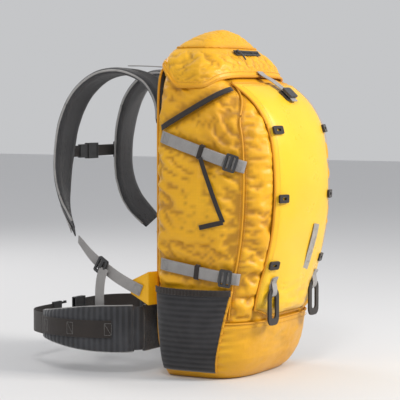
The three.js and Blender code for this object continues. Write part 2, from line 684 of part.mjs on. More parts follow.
// wing rows: x, distance behind the back plane, height, thickness
const WING = [
  [144, 33, 80, 12], [160, 50, 80, 13], [177, 88, 78, 14], [184, 130, 70, 13], [178, 172, 58, 12], [162, 206, 48, 10],
];

function makeHipBelt() {
  const coreRows = [-1, -0.5, 0, 0.5, 1].map((s) => [
    s * HIP.core, fromBack(-(22 + 2 * Math.abs(s))), HIP.z, 0, 1, 0, HIP.tall, HIP.coreThick,
  ]);
  add("hip_belt_core", pad(coreRows, 8, 4), paddedMesh);
  const outward = (a, b) => vec(b[1] - a[1], a[0] - b[0], 0).normalize();
  for (const [name, side] of SIDES) {
    const rows = WING.map((row, i) => {
      const n = outward(WING[Math.max(i - 1, 0)], WING[Math.min(i + 1, WING.length - 1)]);
      return [side * row[0], fromBack(-row[1]), HIP.z, side * n.x, n.y, 0, row[2], row[3]];
    });
    add(`hip_wing_${name}`, pad(rows, 14, 3.5), paddedMesh);
    const tip = [[158.5, 214], [140, 240], [112, 258], [84, 262.5], [70, 262.5]];
    const end = side < 0 ? 45 : 54.5;
    const web = [...tip, [end, 262.5]].map(([x, d], i, all) => {
      const a = all[Math.max(i - 1, 0)];
      const b = all[Math.min(i + 1, all.length - 1)];
      const n = outward(a, b);
      return [side * x, fromBack(-d), HIP.z, side * n.x, n.y, 0, HIP.webbing, WEBBING_THICK];
    });
    const spots = web.map((r) => vec(r[0], r[1], r[2]));
    const normals = web.map((r) => vec(r[3], r[4], r[5]));
    add(`hip_webbing_${name}`, ribbon(spots, normals, web.map((r) => r[6]), web.map((r) => r[7])), darkWebbing);
  }
  const y = fromBack(-262.5);
  add("hip_buckle_male", buckleMale(HIP.webbing).translate(-24, y, HIP.z), blackPlastic);
  add("hip_buckle_female", buckleFemale(HIP.webbing).translate(20, y, HIP.z), blackPlastic);
}

makeBag();
makeFrontPanel();
makeLashTabs();
makeSidePockets();
makeSideStraps();
makeAxeLoops();
makeCollar();
makeLid();
makeZip();
makeClosure();
makeBack();
makeHaulLoop();
makeShoulderStraps();
makeSternumStrap();
makeHipBelt();

export default pack;
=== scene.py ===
import math

import bmesh
import bpy
import numpy as np
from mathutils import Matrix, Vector, noise


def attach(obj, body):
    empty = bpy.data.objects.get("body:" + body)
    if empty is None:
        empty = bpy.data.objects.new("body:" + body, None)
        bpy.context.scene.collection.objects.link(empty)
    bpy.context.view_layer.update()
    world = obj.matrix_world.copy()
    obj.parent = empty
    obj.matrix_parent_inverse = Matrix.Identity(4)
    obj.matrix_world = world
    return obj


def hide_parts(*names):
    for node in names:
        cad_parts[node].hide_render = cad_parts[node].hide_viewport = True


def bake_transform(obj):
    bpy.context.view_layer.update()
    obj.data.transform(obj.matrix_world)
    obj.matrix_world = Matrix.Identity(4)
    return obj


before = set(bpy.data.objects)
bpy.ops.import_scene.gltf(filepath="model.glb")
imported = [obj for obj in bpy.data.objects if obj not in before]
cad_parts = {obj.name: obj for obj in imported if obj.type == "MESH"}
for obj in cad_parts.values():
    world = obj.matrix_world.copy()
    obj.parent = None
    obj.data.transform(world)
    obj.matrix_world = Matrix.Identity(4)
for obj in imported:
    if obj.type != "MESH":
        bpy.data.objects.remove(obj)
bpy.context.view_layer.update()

# Lengths in the builders below are millimetres; meshes are written in metres.
BACK = 70.0
BAG_TOP = 515.0
MM = 0.001
LEFT_RIGHT = (("left", -1), ("right", 1))

HALF_WIDTH = [(0, 108), (12, 120), (35, 132), (70, 140), (110, 146), (200, 152),
              (300, 155), (390, 151), (440, 144), (480, 132), (515, 116)]
DEPTH = [(0, 140), (12, 153), (35, 165), (70, 173), (110, 181), (155, 190), (200, 204), (250, 215),
         (310, 220), (370, 218), (410, 212), (440, 199), (465, 180), (489, 150), (505, 128), (515, 112)]
LID_HALF = [(480, 139), (500, 134), (520, 127), (535, 117), (548, 101), (560, 83), (571, 64), (580, 42), (586, 16)]
LID_FRONT = [(480, 134), (500, 132), (520, 126), (535, 116), (548, 102), (560, 92), (571, 83), (580, 75), (586, 67)]
LID_REAR = [(480, 1), (528, 1), (540, 3), (548, 6), (560, 14), (571, 27), (580, 43), (586, 57)]
FRONT_ROUND, BACK_ROUND = 3.2, 6.0
scene = bpy.context.scene

# ---------------------------------------------------------------- camera, light and floor
AZ, EL, LENS, FRAME_HEIGHT = math.radians(-61), math.radians(3.5), 150, 0.70
distance = FRAME_HEIGHT / 2 / math.tan(math.atan(18 / LENS))
aim = Vector((0.0, 0.055, 0.292))
look = Vector((math.sin(AZ) * math.cos(EL), -math.cos(AZ) * math.cos(EL), math.sin(EL)))
camera = bpy.data.objects.new("camera", bpy.data.cameras.new("camera"))
scene.collection.objects.link(camera)
camera.data.lens = LENS
camera.location = aim + look * distance
camera.rotation_euler = (-look).to_track_quat("-Z", "Y").to_euler()
scene.camera = camera


def area_light(name, place, target, size, power, color=(1, 1, 1)):
    data = bpy.data.lights.new(name, "AREA")
    data.size, data.energy, data.color = size, power, color
    lamp = bpy.data.objects.new(name, data)
    scene.collection.objects.link(lamp)
    lamp.location = place
    lamp.rotation_euler = (Vector(target) - Vector(place)).to_track_quat("-Z", "Y").to_euler()


scene.view_settings.view_transform = "Standard"
area_light("key", (0.35, -2.2, 1.75), (0, 0, 0.3), 0.7, 56, (1.0, 0.975, 0.93))
area_light("side", (-2.0, -0.9, 2.3), (0, 0, 0.28), 0.5, 20, (1.0, 0.99, 0.97))
area_light("back", (0.9, 2.3, 1.5), (0, 0, 0.3), 1.2, 18, (1.0, 0.98, 0.95))
world = bpy.data.worlds.new("studio")
scene.world = world
world.use_nodes = True
world.node_tree.nodes["Background"].inputs["Color"].default_value = (0.93, 0.94, 0.96, 1)
world.node_tree.nodes["Background"].inputs["Strength"].default_value = 0.6

floor_mesh = bpy.data.meshes.new("floor")
floor_mesh.from_pydata([(-9, -9, 0), (9, -9, 0), (9, 9, 0), (-9, 9, 0)], [], [(0, 1, 2, 3)])
floor = bpy.data.objects.new("floor", floor_mesh)
scene.collection.objects.link(floor)
floor_material = bpy.data.materials.new("floor")
floor_material.use_nodes = True
floor_material.node_tree.nodes["Principled BSDF"].inputs["Base Color"].default_value = (0.70, 0.70, 0.71, 1)
floor_material.node_tree.nodes["Principled BSDF"].inputs["Roughness"].default_value = 0.8
floor_mesh.materials.append(floor_material)


# ---------------------------------------------------------------- materials
class Graph:
    """A material's node graph, with short names for what is used often."""

    def __init__(self, name, color, roughness, **constants):
        self.material = bpy.data.materials.new(name)
        self.material.use_nodes = True
        self.tree = self.material.node_tree
        self.shader = self.tree.nodes["Principled BSDF"]
        self.color = color
        self.set(self.shader, "Base Color", (*color, 1))
        self.set(self.shader, "Roughness", roughness)
        for key, value in constants.items():
            self.set(self.shader, key.replace("_", " "), value)
        coordinates = self.tree.nodes.new("ShaderNodeTexCoord")
        self.uv = coordinates.outputs["UV"]
        self.place = coordinates.outputs["Object"]

    def set(self, node, key, value):
        if isinstance(value, bpy.types.NodeSocket):
            self.tree.links.new(value, node.inputs[key])
        else:
            node.inputs[key].default_value = value

    def math(self, kind, a, b=0.5, clamp=False):
        node = self.tree.nodes.new("ShaderNodeMath")
        node.operation, node.use_clamp = kind, clamp
        self.set(node, 0, a)
        self.set(node, 1, b)
        return node.outputs[0]

    def noise(self, where, scale, detail=3.0, roughness=0.5, stretch=(1, 1, 1)):
        mapping = self.tree.nodes.new("ShaderNodeMapping")
        self.set(mapping, "Vector", where)
        mapping.inputs["Scale"].default_value = stretch
        node = self.tree.nodes.new("ShaderNodeTexNoise")
        self.set(node, "Vector", mapping.outputs[0])
        node.inputs["Scale"].default_value = scale
        node.inputs["Detail"].default_value = detail
        node.inputs["Roughness"].default_value = roughness
        return node.outputs["Fac"]

    def bands(self, where, pitch, direction="X", distortion=0.0):
        """Ridges one pitch (metres) apart across a direction, from 0 to 1."""
        node = self.tree.nodes.new("ShaderNodeTexWave")
        node.wave_type, node.bands_direction = "BANDS", direction
        self.set(node, "Vector", where)
        node.inputs["Scale"].default_value = math.pi / 10 / pitch
        node.inputs["Distortion"].default_value = distortion
        return node.outputs["Fac"]

    def cells(self, where, scale, feature="DISTANCE_TO_EDGE"):
        node = self.tree.nodes.new("ShaderNodeTexVoronoi")
        node.feature = feature
        self.set(node, "Vector", where)
        node.inputs["Scale"].default_value = scale
        return node.outputs["Distance"]

    def remap(self, value, low, high, to_low, to_high):
        node = self.tree.nodes.new("ShaderNodeMapRange")
        self.set(node, "Value", value)
        for key, number in (("From Min", low), ("From Max", high), ("To Min", to_low), ("To Max", to_high)):
            node.inputs[key].default_value = number
        return node.outputs[0]

    def tint(self, under, factor, color, mode="MIX"):
        node = self.tree.nodes.new("ShaderNodeMix")
        node.data_type, node.blend_type = "RGBA", mode
        self.set(node, 0, factor)
        self.set(node, 6, under if isinstance(under, bpy.types.NodeSocket) else (*under, 1))
        node.inputs[7].default_value = (*color, 1)
        return node.outputs[2]

    def bump(self, height, strength, depth, under=None):
        node = self.tree.nodes.new("ShaderNodeBump")
        node.inputs["Strength"].default_value = strength
        node.inputs["Distance"].default_value = depth
        self.set(node, "Height", height)
        if under is not None:
            self.set(node, "Normal", under)
        return node.outputs[0]

    def finish(self, color=None, roughness=None, normal=None):
        for key, value in (("Base Color", color), ("Roughness", roughness), ("Normal", normal)):
            if value is not None:
                self.set(self.shader, key, value)
        return self.material


def nylon(name, color, deep, roughness, crumple=0.5, ripstop=0.0052):
    """Coated nylon: a fine plain weave, a ripstop grid and soft creases, with painted shade darkening the folds and
    seams that each mesh marks.
    """
    g = Graph(name, color, roughness, Sheen_Weight=0.05, Sheen_Roughness=0.5)
    weave = g.math("MULTIPLY", g.bands(g.uv, 0.0007, "X"), g.bands(g.uv, 0.0007, "Y"))
    rip_u = g.remap(g.bands(g.uv, ripstop, "X"), 0.93, 1.0, 0, 1)
    rip_v = g.remap(g.bands(g.uv, ripstop, "Y"), 0.93, 1.0, 0, 1)
    grid = g.math("MAXIMUM", rip_u, rip_v)
    creases = g.noise(g.place, 26, 4.0, 0.62)
    broad = g.noise(g.place, 7, 2.0)
    wear = g.noise(g.place, 60, 6.0, 0.7)
    shade = g.tree.nodes.new("ShaderNodeAttribute")
    shade.attribute_name = "crease_shade"
    tone = g.tint(color, g.remap(broad, 0.35, 0.7, 0, 0.45), deep)
    # painted shade: darker where the mesh marks folds and seam grooves, for the shade that falls in them
    tone = g.tint(tone, g.remap(shade.outputs["Fac"], 0, 1, 0, 0.62), tuple(c * 0.5 for c in deep))
    tone = g.tint(tone, g.remap(grid, 0, 1, 0, 0.12), deep)
    tone = g.tint(tone, g.remap(wear, 0.62, 0.8, 0, 0.10), (0.30, 0.27, 0.2))
    normal = g.bump(creases, 0.35 * crumple, 0.006)
    normal = g.bump(grid, 0.25, 0.0002, normal)
    normal = g.bump(weave, 0.35, 0.00012, normal)
    return g.finish(tone, g.remap(creases, 0.3, 0.7, roughness - 0.1, roughness + 0.1), normal)


def webbing_material(name, color, dark, pitch=0.0016):
    """Woven strap: a chevron of warp threads along it, crossed by weft ribs."""
    g = Graph(name, color, 0.75, Sheen_Weight=0.25, Sheen_Roughness=0.4)
    split = g.tree.nodes.new("ShaderNodeSeparateXYZ")
    g.set(split, 0, g.uv)
    chevron = g.tree.nodes.new("ShaderNodeCombineXYZ")
    g.set(chevron, 0, g.math("ADD", g.math("ABSOLUTE", split.outputs[0]), split.outputs[1]))
    twill = g.bands(chevron.outputs[0], pitch, "X")
    ribs = g.bands(g.uv, pitch * 0.8, "Y")
    yarn = g.bands(g.uv, pitch * 0.55, "X")
    height = g.math("ADD", g.math("MULTIPLY", twill, 0.6), g.math("MULTIPLY", yarn, ribs))
    fade = g.noise(g.place, 40, 4.0)
    fuzz = g.noise(g.place, 900, 2.0)
    tone = g.tint(color, g.remap(twill, 0.1, 0.9, 0.55, 0), dark)
    tone = g.tint(tone, g.remap(fade, 0.4, 0.7, 0, 0.35), dark)
    tone = g.tint(tone, g.remap(fuzz, 0.5, 0.8, 0, 0.25), tuple(min(1, c * 1.6 + 0.02) for c in color))
    return g.finish(tone, g.remap(fuzz, 0.3, 0.7, 0.65, 0.88), g.bump(height, 0.7, 0.0004))


def air_mesh(name, color, hole, pitch=300):
    """Open spacer mesh over foam."""
    g = Graph(name, color, 0.9, Sheen_Weight=0.3, Sheen_Roughness=0.45)
    cell = g.cells(g.place, pitch)
    fine = g.noise(g.place, 1500, 2.0)
    broad = g.noise(g.place, 22, 3.0)
    tone = g.tint(color, g.remap(cell, 0.12, 0.4, 0, 1), hole)
    tone = g.tint(tone, g.remap(broad, 0.4, 0.75, 0, 0.4), tuple(c * 1.7 + 0.01 for c in color))
    tone = g.tint(tone, g.remap(fine, 0.45, 0.8, 0, 0.2), tuple(c * 2.2 + 0.02 for c in color))
    normal = g.bump(broad, 0.25, 0.004)
    return g.finish(tone, None, g.bump(g.remap(cell, 0, 0.4, 1, 0), 0.8, 0.0009, normal))


def knit(name, color, dark):
    """Stretch knit with ribs across it."""
    g = Graph(name, color, 0.88, Sheen_Weight=0.35, Sheen_Roughness=0.4)
    rib = g.bands(g.uv, 0.0095, "Y", 0.6)
    stitch = g.math("MULTIPLY", g.bands(g.uv, 0.0018, "X"), g.bands(g.uv, 0.0022, "Y"))
    broad = g.noise(g.place, 30, 3.0)
    tone = g.tint(color, g.remap(rib, 0.2, 0.9, 0.7, 0), dark)
    tone = g.tint(tone, g.remap(broad, 0.4, 0.7, 0, 0.3), tuple(c * 2 for c in color))
    normal = g.bump(rib, 0.5, 0.0016)
    return g.finish(tone, None, g.bump(stitch, 0.5, 0.0004, normal))


def moulded(name, color, roughness=0.42):
    """Moulded plastic with a fine spark texture and rubbed edges."""
    g = Graph(name, color, roughness)
    grain = g.noise(g.place, 2600, 2.0)
    smears = g.noise(g.place, 90, 4.0, 0.6)
    geometry = g.tree.nodes.new("ShaderNodeNewGeometry")
    edge = g.remap(geometry.outputs["Pointiness"], 0.52, 0.6, 0, 0.5)
    tone = g.tint(color, g.remap(smears, 0.45, 0.75, 0, 0.5), tuple(c * 1.9 + 0.004 for c in color))
    tone = g.tint(tone, edge, tuple(c * 3 + 0.03 for c in color))
    return g.finish(tone, g.remap(smears, 0.3, 0.7, roughness - 0.12, roughness + 0.14), g.bump(grain, 0.25, 0.0001))


def thread_material(name, color):
    g = Graph(name, color, 0.7, Sheen_Weight=0.2)
    twist = g.bands(g.place, 0.0009, "DIAGONAL")
    return g.finish(g.tint(color, g.remap(twist, 0.2, 0.8, 0.5, 0), tuple(c * 0.5 for c in color)), None,
                    g.bump(twist, 0.6, 0.0002))


yellow = nylon("yellow_nylon", (0.88, 0.455, 0.004), (0.60, 0.235, 0.001), 0.44, 0.9)
# painted light: the panel is the same yellow nylon as the sides, given a paler base colour for the stronger light on it
lit_panel_nylon = nylon("panel_nylon", (0.93, 0.56, 0.02), (0.86, 0.46, 0.005), 0.34, 0.25)
# painted shade: the base is the same yellow nylon, given a darker base colour for the weaker light reaching it
shaded_boot_nylon = nylon("boot_nylon", (0.78, 0.395, 0.003), (0.58, 0.24, 0.001), 0.42, 0.6)
binding = nylon("yellow_binding", (0.74, 0.345, 0.003), (0.46, 0.175, 0.001), 0.55, 0.2)
lining = nylon("grey_lining", (0.34, 0.34, 0.35), (0.2, 0.2, 0.21), 0.55, 0.6)
grey_web = webbing_material("grey_webbing", (0.40, 0.385, 0.375), (0.20, 0.19, 0.185))
dark_web = webbing_material("dark_webbing", (0.035, 0.026, 0.022), (0.010, 0.008, 0.007))
mesh_pad = air_mesh("spacer_mesh", (0.048, 0.048, 0.052), (0.007, 0.007, 0.008))
pad_shell = knit("pad_shell", (0.050, 0.051, 0.056), (0.018, 0.018, 0.020))
stretch = knit("stretch_knit", (0.034, 0.033, 0.036), (0.010, 0.010, 0.011))
plastic = moulded("black_plastic", (0.014, 0.014, 0.015))
sheet_plastic = moulded("frame_plastic", (0.62, 0.62, 0.58), 0.5)
grey_binding = webbing_material("grey_binding", (0.46, 0.45, 0.44), (0.27, 0.26, 0.255), 0.001)
zip_cloth = webbing_material("zip_tape", (0.030, 0.024, 0.020), (0.012, 0.010, 0.009), 0.0009)
yellow_thread = thread_material("yellow_thread", (0.72, 0.34, 0.012))
dark_thread = thread_material("dark_thread", (0.10, 0.075, 0.05))
grey_thread = thread_material("grey_thread", (0.30, 0.29, 0.28))
cord_braid = thread_material("braided_cord", (0.06, 0.06, 0.062))
bar_film = moulded("reflective_film", (0.30, 0.275, 0.24), 0.3)


# ---------------------------------------------------------------- the bag's outline
def at(table, z):
    """The smooth value of a [height, value] table, the same curve as the frame's."""
    z = np.asarray(z, float)
    zs, vs = np.array(table, float).T
    slopes = np.empty(len(zs))
    slopes[1:-1] = (vs[2:] - vs[:-2]) / (zs[2:] - zs[:-2])
    slopes[0] = (vs[1] - vs[0]) / (zs[1] - zs[0])
    slopes[-1] = (vs[-1] - vs[-2]) / (zs[-1] - zs[-2])
    i = np.clip(np.searchsorted(zs, z, side="right") - 1, 0, len(zs) - 2)
    h = zs[i + 1] - zs[i]
    s = np.clip((z - zs[i]) / h, 0, 1)
    return (vs[i] * (1 + 2 * s) * (1 - s) ** 2 + slopes[i] * h * s * (1 - s) ** 2
            + vs[i + 1] * s * s * (3 - 2 * s) + slopes[i + 1] * h * s * s * (s - 1))


def outline(turn, half, front, rear):
    """A point of a plan outline: x and y. turn is 0 at the wearer's right and a quarter at the back."""
    c, s = np.cos(turn), np.sin(turn)
    power = 2 / np.where(s > 0, BACK_ROUND, FRONT_ROUND)
    across = np.sign(c) * np.abs(c) ** power
    along = np.sign(s) * np.abs(s) ** power
    return half * across, BACK - ((front + rear) / 2 - (front - rear) / 2 * along)


def outline_run(half, front, rear):
    """Fine turns round an outline and the length run at each, to step evenly round it."""
    fine = np.linspace(0, 2 * math.pi, 4001)
    x, y = outline(fine, half, front, rear)
    return fine, np.concatenate([[0], np.cumsum(np.hypot(np.diff(x), np.diff(y)))])


def even_turns(count, fine, run):
    return np.interp(np.arange(count) / count * run[-1], run, fine)


def plan(x, y, z):
    depth = at(DEPTH, z)
    along = (y - (BACK - depth / 2)) / (depth / 2)
    rounding = np.where(along > 0, BACK_ROUND, FRONT_ROUND)
    return np.abs(x / at(HALF_WIDTH, z)) ** rounding + np.abs(along) ** rounding


def bag_normal(x, y, z, h=0.5):
    n = np.stack([plan(x + h, y, z) - plan(x - h, y, z), plan(x, y + h, z) - plan(x, y - h, z),
                  plan(x, y, z + h) - plan(x, y, z - h)], -1)
    return n / np.linalg.norm(n, axis=-1, keepdims=True)


def lifted(x, y, z, off):
    x, y, z = np.broadcast_arrays(np.asarray(x, float), y, z)
    n = bag_normal(x, y, z)
    return np.stack([x, y, z], -1) + n * np.asarray(off, float)[..., None], n


def on_side(side, depth, z, off):
    total = at(DEPTH, z)
    along = (total / 2 - depth) / (total / 2)
    rounding = np.where(along > 0, BACK_ROUND, FRONT_ROUND)
    x = side * at(HALF_WIDTH, z) * (1 - np.minimum(np.abs(along), 1) ** rounding) ** (1 / rounding)
    return lifted(x, BACK - depth, z, off)


def on_front(x, z, off):
    half = at(DEPTH, z) / 2
    share = (1 - np.abs(x / at(HALF_WIDTH, z)) ** FRONT_ROUND) ** (1 / FRONT_ROUND)
    return lifted(x, BACK - half - half * share, z, off)


def fractal(points, size, seed, octaves=3):
    """Smooth noise from -1 to 1 at each point. size is the length of one wave along each axis."""
    scaled = points / np.asarray(size, float) + seed * 17.3
    return np.array([noise.fractal(Vector(p), 1.0, 2.0, octaves) for p in scaled.reshape(-1, 3)]).reshape(points.shape[:-1])


def smooth_step(low, high, value):
    s = np.clip((value - low) / (high - low), 0, 1)
    return s * s * (3 - 2 * s)


# ---------------------------------------------------------------- mesh builders
def new_piece(name, points, faces, material, body, uvs=None, crease_shade=None, smooth=True):
    """points are in mm; uvs are per point, in metres."""
    mesh = bpy.data.meshes.new(name)
    mesh.from_pydata((np.asarray(points) * MM).tolist(), [], faces)
    if uvs is not None:
        layer = mesh.uv_layers.new(name="UVMap")
        loops = np.empty(len(mesh.loops), np.int32)
        mesh.loops.foreach_get("vertex_index", loops)
        layer.data.foreach_set("uv", np.asarray(uvs, np.float32)[loops].ravel())
    # painted shade per point, darker in folds and seams, read by the cloth shader
    if crease_shade is not None:
        mesh.attributes.new("crease_shade", "FLOAT", "POINT").data.foreach_set("value", np.asarray(crease_shade, np.float32))
    if smooth:
        mesh.shade_smooth()
    mesh.materials.append(material)
    piece = bpy.data.objects.new(name, mesh)
    scene.collection.objects.link(piece)
    if body:
        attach(piece, body)
    return piece


def set_surface(piece, points, crease_shade):
    """Moves a piece's points (mm) and sets each one's painted shade from how deep in a fold it lies."""
    piece.data.vertices.foreach_set("co", (points * MM).ravel())
    piece.data.attributes.new("crease_shade", "FLOAT", "POINT").data.foreach_set(
        "value", np.clip(crease_shade, 0, 1).astype(np.float32).ravel())


def thicken(piece, thick, offset=-1):
    shell = piece.modifiers.new("shell", "SOLIDIFY")
    shell.thickness, shell.offset = thick * MM, offset


def lengths(points, axis):
    """Running length in metres along one axis of a grid of points."""
    steps = np.linalg.norm(np.diff(points, axis=axis), axis=-1)
    total = np.cumsum(steps, axis=axis)
    return np.concatenate([np.zeros_like(np.take(total, [0], axis)), total], axis) * MM


def grid_faces(rows, columns, around=False):
    faces = []
    for r in range(rows - 1):
        for c in range(columns if around else columns - 1):
            d = (c + 1) % columns
            faces.append((r * columns + c, r * columns + d, (r + 1) * columns + d, (r + 1) * columns + c))
    return faces


def grid_piece(name, points, material, body, around=False, crease_shade=None, thick=0.0, flip=False):
    """A smooth sheet over a grid of rows and columns, given thickness behind its face."""
    rows, columns = points.shape[:2]
    faces = grid_faces(rows, columns, around)
    if flip:
        faces = [f[::-1] for f in faces]
    u = lengths(points, 1)
    u = np.broadcast_to(u[rows // 2], u.shape) if around else u
    v = lengths(points, 0)
    v = np.broadcast_to(v.mean(axis=1, keepdims=True), v.shape)
    piece = new_piece(name, points.reshape(-1, 3), faces, material, body, np.stack([u, v], -1).reshape(-1, 2),
                      None if crease_shade is None else np.ravel(crease_shade))
    if thick:
        thicken(piece, thick)
    return piece


def bevel(piece, width, segments=2, angle=30):
    modifier = piece.modifiers.new("edges", "BEVEL")
    modifier.width, modifier.segments = width * MM, segments
    modifier.limit_method, modifier.angle_limit = "ANGLE", math.radians(angle)
    piece.data.shade_smooth()
    flat = piece.modifiers.new("normals", "WEIGHTED_NORMAL")
    flat.keep_sharp = False
    return piece


def spline(points, steps):
    """Evenly stepped Catmull-Rom curve through rows of numbers."""
    p = np.asarray(points, float)
    p = np.vstack([2 * p[0] - p[1], p, 2 * p[-1] - p[-2]])
    s = np.linspace(0, len(p) - 3, steps)
    i = np.minimum(s.astype(int), len(p) - 4)
    t = (s - i)[:, None]
    a, b, c, d = p[i], p[i + 1], p[i + 2], p[i + 3]
    return 0.5 * (2 * b + (c - a) * t + (2 * a - 5 * b + 4 * c - d) * t ** 2 + (3 * b - a - 3 * c + d) * t ** 3)


def unit(v):
    return v / np.maximum(np.linalg.norm(v, axis=-1, keepdims=True), 1e-9)


def frames_along(path, normals):
    tangent = unit(np.gradient(path, axis=0))
    sideways = unit(np.cross(tangent, normals))
    return tangent, sideways, unit(np.cross(sideways, tangent))


def swept(name, path, normals, section, material, body):
    """Sweeps sections (steps × points × [across, out]) along a path, with its face along normals."""
    _, sideways, outward = frames_along(path, normals)
    section = np.broadcast_to(section, (len(path),) + np.shape(section)[-2:])
    points = path[:, None] + sideways[:, None] * section[..., :1] + outward[:, None] * section[..., 1:]
    rows, columns = points.shape[:2]
    faces = [f[::-1] for f in grid_faces(rows, columns, True)]
    faces.append(tuple(range(columns)))
    faces.append(tuple(range(rows * columns - 1, (rows - 1) * columns - 1, -1)))
    run = np.concatenate([[0], np.cumsum(np.linalg.norm(np.diff(path, axis=0), axis=-1))]) * MM
    uvs = np.stack([section[..., 0] * MM, np.broadcast_to(run[:, None], section.shape[:2])], -1)
    return new_piece(name, points.reshape(-1, 3), faces, material, body, uvs.reshape(-1, 2))


def strap_section(width, thick):
    """Flat webbing with soft edges."""
    w, t = width / 2, thick / 2
    return np.array([[-w, 0], [-w + t * 0.35, t * 0.8], [-w + t * 1.3, t], [-w / 3, t * 0.92], [w / 3, t * 0.92],
                     [w - t * 1.3, t], [w - t * 0.35, t * 0.8], [w, 0], [w - t * 0.35, -t * 0.8], [w - t * 1.3, -t],
                     [-w + t * 1.3, -t], [-w + t * 0.35, -t * 0.8]])


def webbing(name, path, normals, width, thick, material, body):
    return swept(name, np.asarray(path, float), np.asarray(normals, float), strap_section(width, thick), material, body)


def tube(name, path, radius, material, body, closed=False, sides=10):
    """A round cord, piping or coil along a path."""
    path = np.asarray(path, float)
    count = len(path)
    ahead = np.roll(path, -1, 0) - np.roll(path, 1, 0)
    if not closed:
        ahead[0], ahead[-1] = path[1] - path[0], path[-1] - path[-2]
    tangent = unit(ahead)
    reference = unit(np.cross(tangent, np.where(np.abs(tangent[:, 2:]) < 0.9, [0, 0, 1.0], [1.0, 0, 0])))
    other = np.cross(tangent, reference)
    angle = np.arange(sides) * 2 * math.pi / sides
    radii = np.broadcast_to(radius, (count,))[:, None, None]
    points = path[:, None] + radii * (np.cos(angle)[None, :, None] * reference[:, None]
                                      + np.sin(angle)[None, :, None] * other[:, None])
    faces = grid_faces(count, sides, True)
    if closed:
        faces += [((count - 1) * sides + c, (count - 1) * sides + (c + 1) % sides, (c + 1) % sides, c)
                  for c in range(sides)]
    else:
        faces += [tuple(range(sides))[::-1], tuple(range((count - 1) * sides, count * sides))]
    run = np.concatenate([[0], np.cumsum(np.linalg.norm(np.diff(path, axis=0), axis=-1))]) * MM
    uvs = np.stack(np.broadcast_arrays(angle[None, :] * np.max(radius) * MM, run[:, None]), -1)
    return new_piece(name, points.reshape(-1, 3), faces, material, body, uvs.reshape(-1, 2))


def stitches(name, path, normals, material, body, pitch=3.4, length=2.3, radius=0.38, lift=0.15):
    """A row of sewn stitches: short rounded threads lying on a surface."""
    path, normals = np.asarray(path, float), np.asarray(normals, float)
    run = np.concatenate([[0], np.cumsum(np.linalg.norm(np.diff(path, axis=0), axis=-1))])
    spots = np.arange(pitch / 2, run[-1] - pitch / 2, pitch)
    points, faces = [], []
    for s in spots:
        ends = [np.array([np.interp(s + d, run, path[:, k]) for k in range(3)]) for d in (-length / 2, length / 2)]
        up = unit(np.array([np.interp(s, run, normals[:, k]) for k in range(3)]))
        along = unit(ends[1] - ends[0])
        side = np.cross(along, up)
        first = len(points)
        for k, (share, swell) in enumerate(((0, 0.45), (0.3, 1.0), (0.7, 1.0), (1, 0.45))):
            centre = ends[0] + (ends[1] - ends[0]) * share + up * (lift + (0.2 if 0 < share < 1 else -0.1))
            points += [centre + side * radius * swell, centre + up * radius * swell, centre - side * radius * swell,
                       centre - up * radius * swell]
        for k in range(3):
            a = first + 4 * k
            faces += [(a + j, a + (j + 1) % 4, a + 4 + (j + 1) % 4, a + 4 + j) for j in range(4)]
        faces += [(first + 3, first + 2, first + 1, first), (first + 12, first + 13, first + 14, first + 15)]
    return new_piece(name, np.array(points), faces, material, body)


def box_stitch(name, centre, along, normal, width, length, material, body):
    """The square with a cross that ends a sewn strap."""
    centre, along, normal = np.asarray(centre, float), unit(np.asarray(along, float)), unit(np.asarray(normal, float))
    side = np.cross(along, normal)
    corners = [centre + side * width / 2 * a + along * length / 2 * b
               for a, b in ((-1, -1), (1, -1), (1, 1), (-1, 1), (-1, -1), (1, 1))]
    path = np.concatenate([np.linspace(a, b, 8) for a, b in zip(corners, corners[1:])])
    return stitches(name, path, np.broadcast_to(normal, path.shape), material, body, 2.6, 1.9, 0.36)


def settle(piece, pins, pressure, excess, frames=18, bend=0.6):
    """Runs cloth on a piece and gives where its points go, in mm. pins holds points, 1 for fixed."""
    group = piece.vertex_groups.new(name="pins")
    for weight in np.unique(np.round(pins, 2)):
        if weight > 0:
            group.add([int(i) for i in np.nonzero(np.round(pins, 2) == weight)[0]], float(weight), "REPLACE")
    cloth = piece.modifiers.new("cloth", "CLOTH")
    settings = cloth.settings
    settings.quality = 6
    settings.mass = 0.2
    settings.tension_stiffness = settings.compression_stiffness = 18
    settings.shear_stiffness = 8
    settings.bending_stiffness = bend
    settings.vertex_group_mass = "pins"
    settings.use_pressure = True
    settings.uniform_pressure_force = pressure
    settings.shrink_min = -excess
    settings.effector_weights.gravity = 0
    cloth.point_cache.frame_start, cloth.point_cache.frame_end = 1, frames
    for f in range(1, frames + 1):
        scene.frame_set(f)
    done = piece.evaluated_get(bpy.context.evaluated_depsgraph_get()).to_mesh()
    co = np.empty(len(done.vertices) * 3, np.float32)
    done.vertices.foreach_get("co", co)
    piece.modifiers.remove(cloth)
    piece.vertex_groups.clear()
    scene.frame_set(1)
    return co.reshape(-1, 3).astype(float) / MM


def subdivide(piece):
    modifier = piece.modifiers.new("smooth", "SUBSURF")
    modifier.levels = modifier.render_levels = 1


# ---------------------------------------------------------------- bag cloth
AROUND, RISE = 168, 104
PANEL_HALF, PANEL_LOW, PANEL_TOP = 101.0, 106, 493
BOOT_TOP = 98
POCKET_REAR, POCKET_LOW, POCKET_TOP = 16, 16, 154
# each side strap's rear and front end, as depth and height
STRAPS = {"upper": ((24, 406), (178, 357)), "lower": ((24, 194), (164, 173)), "lid": ((24, 420), (137, 483))}


def seam_depth(z):
    """How deep the side's upright seam lies at a height."""
    return at(DEPTH, z) * (0.80 + 0.12 * smooth_step(420, 495, z))


def strap_height(level, depth):
    rear, front = STRAPS[level]
    return rear[1] + (front[1] - rear[1]) * (depth - rear[0]) / (front[0] - rear[0])


def pocket_front(z):
    """How deep the side pocket's front edge lies at a height."""
    return 112 + 38 * (z - POCKET_LOW) / (POCKET_TOP - POCKET_LOW)


